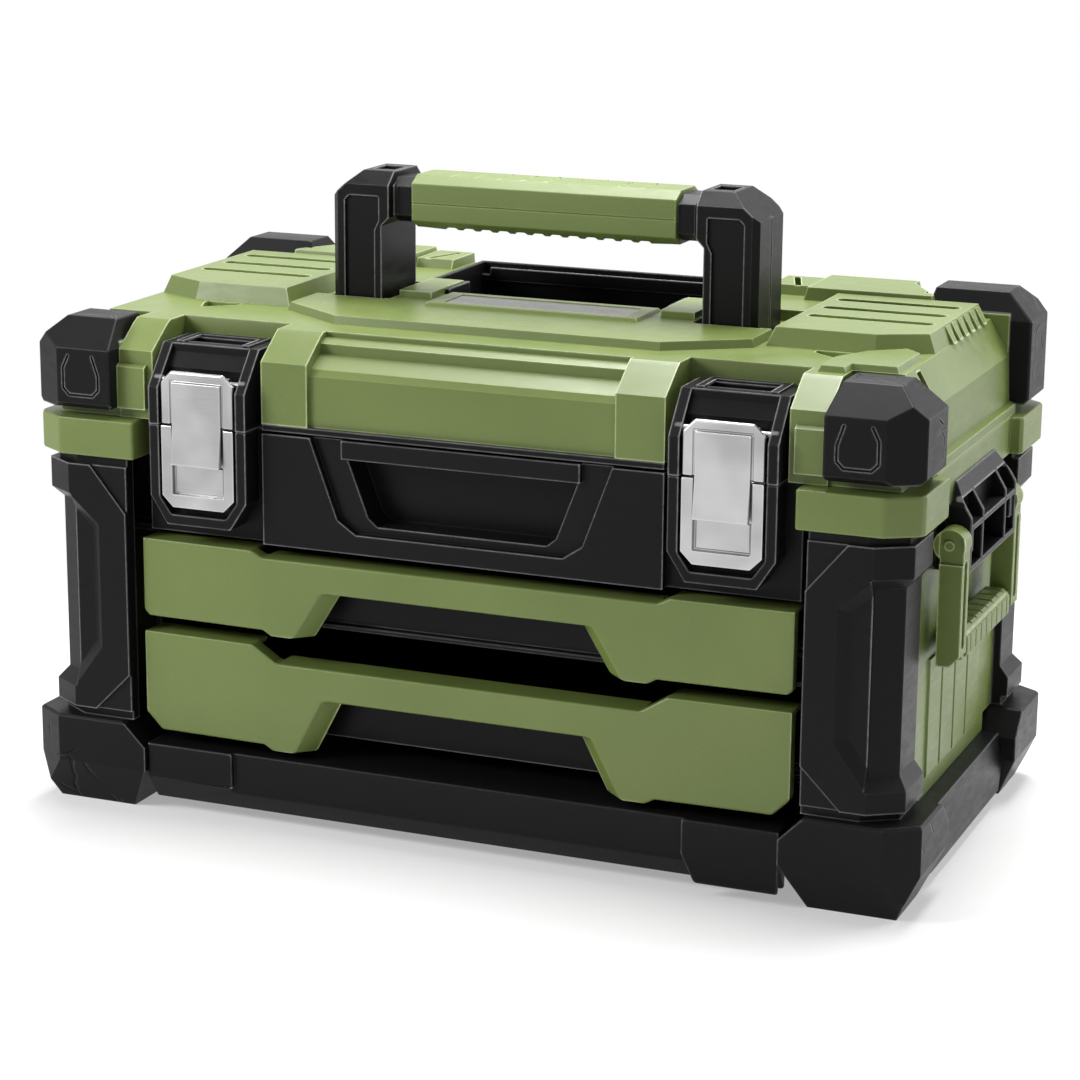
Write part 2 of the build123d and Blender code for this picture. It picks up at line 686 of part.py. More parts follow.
def make_grip_panel():
    """Front panel under the lid: a flat fascia and a proud block with a finger recess."""
    half = GRIP_PANEL_W / 2
    lip_z = TUB_BOTTOM + RECESS_LIP
    roof_z = SEAM_Z - RECESS_ROOF
    frame_top = RECESS_TOP_W / 2
    frame_low = RECESS_BOTTOM_W / 2
    back = APRON_Y + RECESS_DEPTH
    with BuildPart() as panel:
        block(-FASCIA_W / 2, FASCIA_W / 2, FASCIA_Y - FASCIA_T, FASCIA_Y, TUB_BOTTOM, COLLAR_BOTTOM)
        fascia_in = HALF_W - COLLAR_FRONT_W
        block(-fascia_in, fascia_in, FASCIA_Y - FASCIA_T, FASCIA_Y, COLLAR_BOTTOM, SEAM_Z)
        block(-half, half, APRON_Y, FASCIA_Y, TUB_BOTTOM, SEAM_Z - 1.5)
        block(-frame_top, frame_top, FASCIA_Y, back + GRIP_WALL, TUB_BOTTOM, SEAM_Z - RECESS_STEP)
        outer = both_sides([
            (frame_low - 10, lip_z), (frame_low + 2, lip_z + 8), (frame_top, SEAM_Z - 1.5),
        ])
        prism_y(outer, APRON_Y, APRON_Y + RECESS_STEP, Mode.SUBTRACT)
        inner = both_sides([
            (frame_low - RECESS_BORDER - 6, lip_z + RECESS_STEP),
            (frame_low - RECESS_BORDER, lip_z + 2 * RECESS_STEP),
            (frame_top - RECESS_BORDER - 5, roof_z),
        ])
        prism_y(inner, APRON_Y + RECESS_STEP, back, Mode.SUBTRACT)
        block(-frame_low, frame_low, APRON_Y + 1.0, APRON_Y + RECESS_STEP, roof_z - 4.0, SEAM_Z - 1.5)
    return panel


def tray_levels(drawer):
    """Bottom and top of a drawer's tray."""
    return drawer["bottom"] + TRAY_UNDER, drawer["top"] - drawer["dip"] - TRAY_SIDE_DROP


def make_cheek():
    """Inner side wall of the drawer bay, with a channel for each drawer's rail."""
    inner = DRAWER_W / 2 - PIN_GAP
    runner_in = TRAY_W / 2 + RUNNER_PLAY
    front = DRAWER_Y + DRAWER_LIP + FIT * 2
    with BuildPart() as cheek:
        block(inner, inner + CHEEK_T, front, INNER_Y, PLINTH_TOP, TUB_BOTTOM)
        block(inner, INNER_X, front, INNER_Y, TUB_BOTTOM - CHEEK_T, TUB_BOTTOM)
        block(inner, INNER_X, front, INNER_Y, PLINTH_TOP, PLINTH_TOP + CHEEK_T)
        block(FOOT_IN_X, FOOT_X, -FOOT_Y, -FOOT_IN_Y, 0, FOOT_TOP, Mode.SUBTRACT)
        block(FOOT_IN_X, FOOT_X, FOOT_IN_Y, FOOT_Y, 0, FOOT_TOP, Mode.SUBTRACT)
        for drawer in (UPPER_DRAWER, LOWER_DRAWER):
            rail = tray_levels(drawer)[0] + RUNNER_UP
            block(runner_in, inner, front, INNER_Y, rail - RUNNER_PLAY - RUNNER_T, rail - RUNNER_PLAY)
            above = rail + RUNNER_T + RUNNER_PLAY
            block(runner_in, inner, front, INNER_Y, above, above + RUNNER_T)
    return cheek


def make_divider():
    """Shelf between the two drawers."""
    half = DRAWER_W / 2 - PIN_GAP
    top = UPPER_DRAWER["bottom"] + TRAY_UNDER - FIT
    front = DRAWER_Y + DRAWER_LIP + FIT * 2
    with BuildPart() as divider:
        block(-half, half, front, INNER_Y, top - DIVIDER_T, top)
    return divider


# ---------------------------------------------------------------- drawers
def front_outline(drawer):
    """Right half of a drawer front, from the bottom centre round to the top centre."""
    bottom = drawer["bottom"]
    dipped = drawer["top"] - drawer["dip"]
    low = bottom - DRAWER_DROP
    half = DRAWER_W / 2
    return [
        (NOTCH_TOP_W / 2, drawer["notch"]), (NOTCH_BOTTOM_W / 2, low), (STEP_X - 12, low),
        (STEP_X - 7, bottom), (half - drawer["ear"], bottom), (half, bottom + drawer["ear"]),
        (half, drawer["top"]),
        (STEP_X, drawer["top"]), (STEP_X - drawer["dip_run"], dipped),
    ]


def make_drawer_front(drawer):
    """Green drawer front: a plate with a bevelled pull notch and a deep top lip."""
    half = DRAWER_W / 2
    dipped = drawer["top"] - drawer["dip"]
    with BuildPart() as front:
        prism_y(both_sides(front_outline(drawer)), DRAWER_Y, TRAY_Y)
        flank = [
            (NOTCH_TOP_W / 2 - NOTCH_FLANK, drawer["notch"]), (NOTCH_TOP_W / 2, drawer["notch"]),
            (NOTCH_BOTTOM_W / 2, drawer["bottom"] - DRAWER_DROP),
            (NOTCH_BOTTOM_W / 2 - NOTCH_FLANK, drawer["bottom"] - DRAWER_DROP),
        ]
        for side in (-1, 1):
            edge = [(side * x, z) for x, z in flank]
            with BuildSketch(Plane.XZ.offset(-TRAY_Y)) as wide:
                Polygon(*edge)
            top_x, top_z = edge[1]
            low_x, low_z = edge[2]
            thin = [edge[1], edge[2], (low_x - side * NOTCH_EDGE, low_z), (top_x - side * NOTCH_EDGE, top_z)]
            with BuildSketch(Plane.XZ.offset(-DRAWER_Y)) as narrow:
                Polygon(*thin)
            loft([wide.sketch.face(), narrow.sketch.face()], ruled=True)
        crease = [(STEP_X, DRAWER_Y), (half + 1, DRAWER_Y - 1), (half + 1, DRAWER_Y + DRAWER_CREASE)]
        for side in (-1, 1):
            lean = [(side * x, y) for x, y in crease]
            prism_z(lean, drawer["bottom"] - DRAWER_DROP, drawer["top"], Mode.SUBTRACT)
        lip_z = drawer["top"] - DRAWER_LIP_T
        for side in (-1, 1):
            ends = sorted((side * STEP_X, side * half))
            block(*ends, TRAY_Y, DRAWER_Y + DRAWER_LIP, lip_z, drawer["top"])
        inner = STEP_X - drawer["dip_run"]
        block(-inner, inner, TRAY_Y, DRAWER_Y + DRAWER_LIP, dipped - DRAWER_LIP_T, dipped)
    return front


def make_tray(drawer):
    """Black drawer tray with a pull scoop behind the notch and a rail on each side."""
    bottom, top = tray_levels(drawer)
    half = TRAY_W / 2
    end = INNER_Y - TRAY_BACK_GAP
    head = drawer["notch"] + SCOOP_HEAD
    scoop = SCOOP_W / 2
    with BuildPart() as tray:
        block(-half, half, TRAY_Y, end, bottom, top)
        inner = half - TRAY_WALL
        block(-inner, inner, TRAY_Y + TRAY_WALL, end - TRAY_WALL, bottom + TRAY_WALL, top, Mode.SUBTRACT)
        block(-scoop - TRAY_WALL, scoop + TRAY_WALL, TRAY_Y, TRAY_Y + SCOOP_DEPTH + TRAY_WALL, bottom,
              min(head + TRAY_WALL, top))
        block(-scoop, scoop, TRAY_Y, TRAY_Y + SCOOP_DEPTH, bottom, min(head, top - TRAY_WALL), Mode.SUBTRACT)
        rail = bottom + RUNNER_UP
        rail_front = DRAWER_Y + DRAWER_LIP + FIT * 3
        reach = DRAWER_W / 2 - PIN_GAP - RUNNER_PLAY
        for side in (-1, 1):
            block(*sorted((side * half, side * reach)), rail_front, end, rail, rail + RUNNER_T)
    return tray


# ---------------------------------------------------------------- lid
def lid_section():
    """Right half of the lid's cross-section, from the top centre down to the seam."""
    return [
        (STRIP_X, LID_Z), (STRIP_X, LID_Z + LIP_H), (LID_SIDE_X, LID_Z + LIP_H + 1.5),
        (LID_SIDE_X - 1.5, LID_KINK_Z), (LID_SIDE_X - LID_SLOPE, LID_FRONT_Z),
    ]


def add_hinge_cover(side):
    """Raised blocks over a rear hinge: a broad one and a narrow one with a slanted slot."""
    outer = HALF_W - CAP_W - COVER_SET
    inner = outer - HINGE_COVER_W
    back = LID_BACK_Y - COVER_SET
    front = back - HINGE_COVER_D
    top = LID_DECK_Z + HINGE_COVER_UP
    slant = outer - HINGE_COVER_CUT
    broad = [
        (inner, front), (outer, front), (outer, front + COVER_SET), (slant, back - COVER_SET * 2),
        (slant, back), (inner, back),
    ]
    with BuildSketch(Plane.XY.offset(top)) as plan:
        Polygon(*[(side * x, y) for x, y in broad])
    extrude(plan.sketch, amount=top - LID_FRONT_Z + 1.0, dir=(0, 0, -1), taper=-12)
    edge = inner - HINGE_SIDE_GAP
    end = edge - HINGE_SIDE_W
    front += 2 * COVER_SET
    narrow = [
        (front, LID_FRONT_Z), (front + COVER_SET, LID_DECK_Z), (back - 2, LID_DECK_Z), (back, LID_FRONT_Z),
    ]
    prism_x(narrow, *sorted((side * end, side * edge)))
    slot = [
        (side * (edge - SLOT_MARGIN), front + SLOT_MARGIN),
        (side * (edge - SLOT_MARGIN - SLOT_DEPTH), front + SLOT_MARGIN),
        (side * (end + SLOT_MARGIN), back - SLOT_MARGIN),
        (side * (end + SLOT_MARGIN + SLOT_DEPTH), back - SLOT_MARGIN),
    ]
    prism_z(slot, LID_MAIN_Z, LID_DECK_Z, Mode.SUBTRACT)


def add_deck_ribs(side):
    """Short ribs down the deck's outer slope, and one slot in the lid's side slope."""
    for index in range(DECK_RIB_COUNT):
        y = DECK_Y1 - DECK_RIB_W - index * DECK_RIB_PITCH
        rib = [
            (DECK_X1 - DECK_RIB_OUT, LID_FRONT_Z), (DECK_X1 - DECK_RIB_OUT, LID_DECK_Z - 1.0),
            (DECK_X1 + 1.0, LID_DECK_Z - 1.0), (DECK_X1 + DECK_RIB_OUT + 2.0, LID_FRONT_Z),
        ]
        prism_y([(side * x, z) for x, z in rib], y - DECK_RIB_W / 2, y + DECK_RIB_W / 2)
    slope_x = LID_SIDE_X - LID_SLOPE
    gill = [
        (slope_x + LID_SLOPE, LID_KINK_Z + GILL_W), (slope_x + LID_SLOPE, LID_FRONT_Z - GILL_DEPTH),
        (slope_x - GILL_DEPTH, LID_FRONT_Z - GILL_DEPTH),
        (slope_x + LID_SLOPE / 2 - GILL_DEPTH, LID_KINK_Z + GILL_W),
    ]
    prism_y([(side * x, z) for x, z in gill], GILL_Y, GILL_Y + GILL_W, Mode.SUBTRACT)


def add_cap_ridge(side):
    """Raised collar that wraps the inner sides of a front cap, with a sunk notch behind it."""
    edge = HALF_W - CAP_W
    cap_back = CAP_L - HALF_D
    outline = [
        (edge - RIDGE_IN, cap_back - RIDGE_STEP), (edge, cap_back - RIDGE_STEP), (edge, cap_back),
        (edge + RIDGE_OUT, cap_back), (edge + RIDGE_OUT, RIDGE_BACK_Y - RIDGE_STEP),
        (edge + RIDGE_OUT - RIDGE_STEP, RIDGE_BACK_Y), (edge - RIDGE_STEP / 2, RIDGE_BACK_Y - RIDGE_IN),
        (edge - RIDGE_IN, cap_back + RIDGE_IN),
    ]
    base = LID_FRONT_Z - 1.0
    with BuildSketch(Plane.XY.offset(base)) as ridge:
        Polygon(*[(side * x, y) for x, y in outline])
    extrude(ridge.sketch, amount=RIDGE_TOP_Z - base, dir=(0, 0, 1), taper=RIDGE_TAPER)
    foot = DECK_Y0 - RIDGE_STEP / 2
    notch = [
        (edge - 3 * RIDGE_STEP, foot - RIDGE_STEP / 2), (edge - 1.5 * RIDGE_STEP, foot - NOTCH_L),
        (edge - RIDGE_STEP, foot - NOTCH_DEPTH), (edge - RIDGE_STEP, foot), (edge - 3 * RIDGE_STEP, foot),
    ]
    prism_z([(side * x, y) for x, y in notch], LID_FRONT_Z - NOTCH_DEPTH, LID_DECK_Z, Mode.SUBTRACT)


def post_hole(margin, z0, z1, mode):
    """Clear space round both handle stems, grown by a margin."""
    for side in (-1, 1):
        xs = sorted((side * (STEM_IN - margin), side * (POST_OUT + margin)))
        block(*xs, POST_Y0 - margin, POST_Y1 + margin, z0, z1, mode)


def well_outline(inset):
    """Plan of the well, drawn in by an inset: its front end is narrower than the rest."""
    half = WELL_W / 2 - inset
    front = half - LEDGE_W
    ledge_y = WELL_Y0 + LEDGE_L + inset
    right = [(front, WELL_Y0 + inset), (front, ledge_y), (half, ledge_y), (half, WELL_Y1 - inset)]
    return both_sides(right)


def make_lid_shell():
    """Green lid shell with apron, latch pockets, slotted decks, well and handle pits."""
    main_half = DECK_X0 - 8.0
    apron_back = APRON_Y + APRON_BEVEL_Y
    with BuildPart() as shell:
        prism_y(both_sides(lid_section()), APRON_Y, LID_BACK_Y + 2.0)
        side_view = [
            (APRON_Y, LID_Z), (APRON_Y, APRON_TOP_Z), (apron_back, APRON_TOP_Z + APRON_BEVEL_Z),
            (apron_back + 4, LID_FRONT_Z), (LID_BACK_Y - 6, LID_FRONT_Z), (LID_BACK_Y - 1, LID_KINK_Z),
            (LID_BACK_Y, LID_Z + LIP_H + 1.5), (STRIP_Y, LID_Z + LIP_H), (STRIP_Y, LID_Z),
        ]
        prism_x(side_view, -STRIP_X, STRIP_X, Mode.INTERSECT)
        # raised middle
        front_half = MIDDLE_FRONT_W / 2
        middle = [
            (-main_half, MIDDLE_SIDE_Y), (-front_half, MIDDLE_FRONT_Y), (front_half, MIDDLE_FRONT_Y),
            (main_half, MIDDLE_SIDE_Y), (main_half, LID_BACK_Y - 8), (-main_half, LID_BACK_Y - 8),
        ]
        with BuildSketch(Plane.XY.offset(LID_FRONT_Z)) as raised:
            Polygon(*middle)
        extrude(raised.sketch, amount=LID_MAIN_Z - LID_FRONT_Z, dir=(0, 0, 1), taper=20)
        # slotted decks
        for side in (-1, 1):
            deck = [
                (side * DECK_X0, DECK_Y0), (side * (DECK_X1 - DECK_CORNER_X), DECK_Y0),
                (side * DECK_X1, DECK_Y0 + DECK_CORNER_Y), (side * DECK_X1, DECK_Y1),
                (side * DECK_X0, DECK_Y1),
            ]
            with BuildSketch(Plane.XY.offset(LID_DECK_Z)) as top:
                Polygon(*deck)
            rise = LID_DECK_Z - LID_FRONT_Z + 3.0
            extrude(top.sketch, amount=rise, dir=(0, 0, -1), taper=-22)
            add_hinge_cover(side)
            add_cap_ridge(side)
            add_deck_ribs(side)
        for side in (-1, 1):
            for index in range(SLOT_COUNT):
                y = SLOT_FIRST_Y + index * SLOT_PITCH
                with BuildSketch(Plane.XY.offset(LID_DECK_Z)) as slot:
                    with Locations((side * (SLOT_X0 + SLOT_X1) / 2, y)):
                        SlotOverall(SLOT_X1 - SLOT_X0, SLOT_W)
                extrude(slot.sketch, amount=SLOT_DEPTH, dir=(0, 0, -1), mode=Mode.SUBTRACT)
        # latch pockets with a bevelled rear edge
        pocket_back = -HALF_D + POCKET_BACK_SET
        pocket = [
            (-HALF_D, LID_Z - 1), (-HALF_D, LID_DECK_Z), (pocket_back + POCKET_BEVEL / 2, LID_DECK_Z),
            (pocket_back, LID_FRONT_Z - POCKET_BEVEL), (pocket_back, LID_Z - 1),
        ]
        for side in (-1, 1):
            prism_x(pocket, *sorted((side * POCKET_X0, side * POCKET_X1)), Mode.SUBTRACT)
        # the straps between the latches and the caps stand at the front
        strap_y = -HALF_D + STRAP_SET
        strap = [
            (strap_y, LID_Z + LIP_H), (strap_y, STRAP_TOP_Z),
            (strap_y + STRAP_RUN, STRAP_TOP_Z + STRAP_RISE),
            (strap_y + STRAP_RUN + 12, LID_FRONT_Z), (strap_y + STRAP_RUN + 12, LID_Z + LIP_H),
        ]
        for side in (-1, 1):
            prism_x(strap, *sorted((side * (POCKET_X1 + 4), side * (HALF_W - CAP_W))))
        # recessed middle of the apron
        half = APRON_PANEL_W / 2
        panel = [
            (APRON_Y, LID_Z), (APRON_Y, LID_MAIN_Z), (APRON_Y + APRON_BEVEL_Y + 8, LID_MAIN_Z),
            (APRON_Y + APRON_BEVEL_Y + 8, LID_FRONT_Z - 3), (APRON_Y + APRON_BEVEL_Y, LID_FRONT_Z - 6),
            (APRON_Y + APRON_BEVEL_Y, LID_FRONT_Z - 12), (APRON_Y + 2 * APRON_SUNK_DEPTH, APRON_TOP_Z - 3),
            (APRON_Y + APRON_SUNK_DEPTH, APRON_TOP_Z - 7), (APRON_Y + APRON_SUNK_DEPTH, LID_Z),
        ]
        prism_x(panel, -half, half, Mode.SUBTRACT)
        # plain corners under the caps
        for cap_top, cap_w, y_side in ((CAP_FRONT_Z, CAP_W, -1), (CAP_REAR_Z, CAP_REAR_W, 1)):
            y_in = HALF_D - CAP_L
            for x_side in (-1, 1):
                xs = sorted((x_side * (HALF_W - cap_w), x_side * HALF_W))
                ys = sorted((y_side * y_in, y_side * HALF_D))
                block(*xs, *ys, LID_Z, CAP_REAR_Z, Mode.SUBTRACT)
                xs = sorted((x_side * (HALF_W - cap_w), x_side * (HALF_W - CAP_WALL)))
                ys = sorted((y_side * y_in, y_side * (HALF_D - CAP_WALL)))
                block(*xs, *ys, LID_Z, cap_top - CAP_ROOF)
        # raised plate in front of the well
        with BuildSketch(Plane.XY.offset(LID_MAIN_Z)) as plate:
            with Locations((0, (PLATE_Y0 + WELL_Y0) / 2)):
                Rectangle(PLATE_W, WELL_Y0 - PLATE_Y0)
        extrude(plate.sketch, amount=PLATE_UP, dir=(0, 0, 1), taper=30)
        block(-INSET_W / 2, INSET_W / 2, PLATE_Y0 + INSET_MARGIN, WELL_Y0 - INSET_MARGIN,
              LID_MAIN_Z + PLATE_UP - INSET_T, LID_DECK_Z, Mode.SUBTRACT)
        # hollow inside
        roof = LID_FRONT_Z - LID_ROOF
        cavity = both_sides([
            (INNER_X, LID_Z - 1), (INNER_X, LID_KINK_Z - 4), (LID_SIDE_X - LID_SLOPE - LID_ROOF, roof),
        ])
        prism_y(cavity, CAVITY_Y, INNER_Y, Mode.SUBTRACT)
        nose = POCKET_X0 - LID_WALL
        nose_front = APRON_Y + APRON_SUNK_DEPTH + LID_WALL
        block(-nose, nose, nose_front, CAVITY_Y, LID_Z, APRON_TOP_Z - 2 * LID_WALL, Mode.SUBTRACT)
        block(-POCKET_X0, POCKET_X0, APRON_Y, CAVITY_Y, LID_Z, LID_Z + APRON_STRIP, Mode.SUBTRACT)
        block(LID_WALL - WELL_W / 2, WELL_W / 2 - LID_WALL, PLATE_Y0 - LID_WALL, WELL_Y0 - LID_WALL, roof,
              LID_MAIN_Z - LID_WALL, Mode.SUBTRACT)
        for side in (-1, 1):
            xs = sorted((side * (DECK_X0 + LID_WALL), side * (DECK_X1 - 2 * LID_WALL)))
            ys = (DECK_Y0 + DECK_CORNER_Y + 3 * LID_WALL, DECK_Y1 - LID_WALL)
            block(*xs, *ys, roof, LID_DECK_Z - 2 * SLOT_DEPTH, Mode.SUBTRACT)
            xs = sorted((side * (HALF_W - CAP_W + LID_WALL), side * INNER_X))
            block(*xs, CAP_WALL + LID_WALL - HALF_D, CAVITY_Y, LID_Z, CAP_FRONT_Z - CAP_ROOF - LID_WALL,
                  Mode.SUBTRACT)
        # well, handle pits and stem openings
        ledge_zs = (LID_MAIN_Z - 1.0, LID_MAIN_Z + LEDGE_UP)
        for side in (-1, 1):
            xs = sorted((side * (WELL_W / 2 - LEDGE_W), side * (WELL_W / 2 - 2.0)))
            block(*xs, WELL_Y0 - LEDGE_FRONT, WELL_Y0 + LEDGE_L, *ledge_zs)
        prism_z(well_outline(0), LID_Z, CAP_REAR_Z, Mode.SUBTRACT)
        for side in (-1, 1):
            xs = sorted((side * (WELL_W / 2), side * (POST_OUT + PIT_MARGIN_X)))
            block(*xs, POST_Y0 - 1.5, POST_Y1 + PIT_MARGIN_Y, PIT_Z, LID_DECK_Z, Mode.SUBTRACT)
        post_hole(SLEEVE_GAP + SLEEVE_WALL, LID_Z, LID_DECK_Z, Mode.SUBTRACT)
        # notches for the hinge knuckles and leaves
        for x in hinge_holes():
            half = HINGE_L / 2 + FIT * 2
            reach = HINGE_R + FIT * 2
            leaf_y = LID_BACK_Y - HINGE_LEAF_T - 1
            block(x - half, x + half, HINGE_Y - reach, HALF_D + 1, LID_Z - 1, HINGE_Z + reach, Mode.SUBTRACT)
            block(x - half, x + half, leaf_y, HALF_D, LID_Z - 1, LID_SCREW_Z + 8, Mode.SUBTRACT)
        screw_ys = (LID_BACK_Y - HINGE_LEAF_T - SCREW_L, LID_BACK_Y)
        for x in leaf_screw_xs():
            rod_y(*screw_ys, x, LID_SCREW_Z, SCREW_R + PIN_GAP, Mode.SUBTRACT)
    return shell


def make_cap(top_z, width):
    """Corner cap of the lid: a faceted guard, hollow where it wraps the shell."""
    x_in = HALF_W - width
    y_in = HALF_D - CAP_L
    bottom = LID_Z + CAP_BOTTOM_GAP
    shoulder = top_z - CAP_EDGE_Z
    with BuildPart() as cap:
        prism_z(corner_outline(x_in, HALF_W, y_in, HALF_D), bottom, top_z)
        front = [
            (x_in, bottom + 2), (x_in, shoulder), (x_in + CAP_INNER_SLOPE / 2, top_z),
            (HALF_W - CAP_SLOPE_X, top_z), (HALF_W, shoulder), (HALF_W, bottom + 3), (HALF_W - 3, bottom),
            (x_in + 2, bottom),
        ]
        prism_y(front, -HALF_D, -y_in, Mode.INTERSECT)
        side = [
            (-HALF_D, bottom + 3), (-HALF_D, shoulder), (CAP_SLOPE_Y - HALF_D, top_z),
            (-y_in - CAP_INNER_SLOPE, top_z), (-y_in, shoulder), (-y_in, bottom), (3 - HALF_D, bottom),
        ]
        prism_x(side, x_in, HALF_W, Mode.INTERSECT)
        fillet(cap.edges().filter_by(lambda edge: edge.center().Z > bottom + 2 * CAP_SOFT), CAP_SOFT)
        block(x_in, HALF_W - CAP_WALL, CAP_WALL - HALF_D, -y_in, LID_Z, top_z - CAP_ROOF, Mode.SUBTRACT)
        engrave_cap(x_in, bottom, shoulder, top_z)
    return cap


def engrave_cap(x_in, bottom, shoulder, top_z):
    """Fine panel lines on the front, the flank and the top of a cap."""
    edge = HALF_W - CUT_X
    low = bottom + LINE_IN
    high = shoulder - LINE_CORNER
    shield = [
        (x_in + 1.5 * LINE_IN, high), (x_in + LINE_IN, high - 1.5 * LINE_IN),
        (x_in + LINE_IN, low + LINE_CORNER), (x_in + 1.5 * LINE_IN, low), (edge - LINE_IN, low),
        (edge - LINE_IN + LINE_CORNER, low + LINE_CORNER), (edge - LINE_IN + LINE_CORNER, high - LINE_IN),
        (edge - LINE_IN, high),
    ]
    groove(Plane.XZ.offset(HALF_D), shield, (0, 1, 0))
    rear = CAP_L - HALF_D - LINE_IN
    flank = [
        (rear, low), (rear, low + 1.5 * LINE_IN), (rear - LINE_CORNER, low + 1.5 * LINE_IN + LINE_CORNER),
        (rear - LINE_CORNER, high - LINE_CORNER), (rear - 1.5 * LINE_IN, high),
    ]
    groove(Plane.YZ.offset(HALF_W), flank, (-1, 0, 0))
    line_y = CAP_SLOPE_Y - HALF_D + LINE_CORNER
    ledge = [
        (x_in + LINE_IN, line_y), (x_in + 1.5 * LINE_IN, line_y + LINE_CORNER),
        (x_in + 3 * LINE_IN, line_y + LINE_CORNER), (HALF_W - CAP_SLOPE_X, line_y),
    ]
    groove(Plane.XY.offset(top_z), ledge, (0, 0, -1))


def make_well():
    """Black open tray set into the lid behind the handle."""
    rim = LID_MAIN_Z + WELL_RIM
    half = WELL_W / 2
    front = half - LEDGE_W
    with BuildPart() as well:
        prism_z(well_outline(0), WELL_FLOOR_Z - WELL_WALL, rim)
        prism_z(well_outline(WELL_WALL), WELL_FLOOR_Z, rim, Mode.SUBTRACT)
        step = 2.5 * WELL_WALL
        block(-half, half, WELL_Y1 - step, WELL_Y1, LID_FRONT_Z - 4, LID_FRONT_Z)
        rail_x = half - 3 * WELL_WALL
        block(-rail_x, rail_x, WELL_Y1 - step, WELL_Y1 - step + WELL_WALL / 2, LID_FRONT_Z, LID_MAIN_Z)
        block(-front, front, WELL_Y0, WELL_Y0 + WELL_WALL, LID_MAIN_Z - 1, rim, Mode.SUBTRACT)
    return well


def make_inset():
    """Dark panel let into the raised plate."""
    with BuildPart() as inset:
        block(-INSET_W / 2, INSET_W / 2, PLATE_Y0 + INSET_MARGIN, WELL_Y0 - INSET_MARGIN,
              LID_MAIN_Z + PLATE_UP - INSET_T, LID_MAIN_Z + PLATE_UP - 0.5)
    return inset


def make_liner():
    """Black inner pan of the lid, with the front strip and a sleeve for each handle stem."""
    pan_top = LID_Z + APRON_STRIP
    inner_x = INNER_X - LINER_BORDER
    inner_y = INNER_Y - LINER_BORDER
    with BuildPart() as liner:
        block(-INNER_X, INNER_X, CAVITY_Y, INNER_Y, LID_Z, pan_top)
        block(-POCKET_X0, POCKET_X0, APRON_Y, CAVITY_Y, LID_Z, pan_top)
        block(-inner_x, inner_x, CAVITY_Y + LINER_BORDER, inner_y, LID_Z, LID_Z + LINER_SINK, Mode.SUBTRACT)
        post_hole(SLEEVE_GAP + SLEEVE_WALL, POST_BOTTOM_DOWN - FIT, PIT_Z, Mode.ADD)
        post_hole(SLEEVE_GAP, POST_BOTTOM_DOWN - FIT, PIT_Z, Mode.SUBTRACT)
    return liner


POST_BOTTOM_UP = PIT_Z - POST_TAIL
POST_BOTTOM_DOWN = POST_BOTTOM_UP - HANDLE_TRAVEL


# ---------------------------------------------------------------- carry handle
def core_z():
    """Height of the steel core inside the grip."""
    return GRIP_SEAM_Z


def core_y():
    """Middle of the handle, front to back."""
    return (POST_Y0 + POST_Y1) / 2


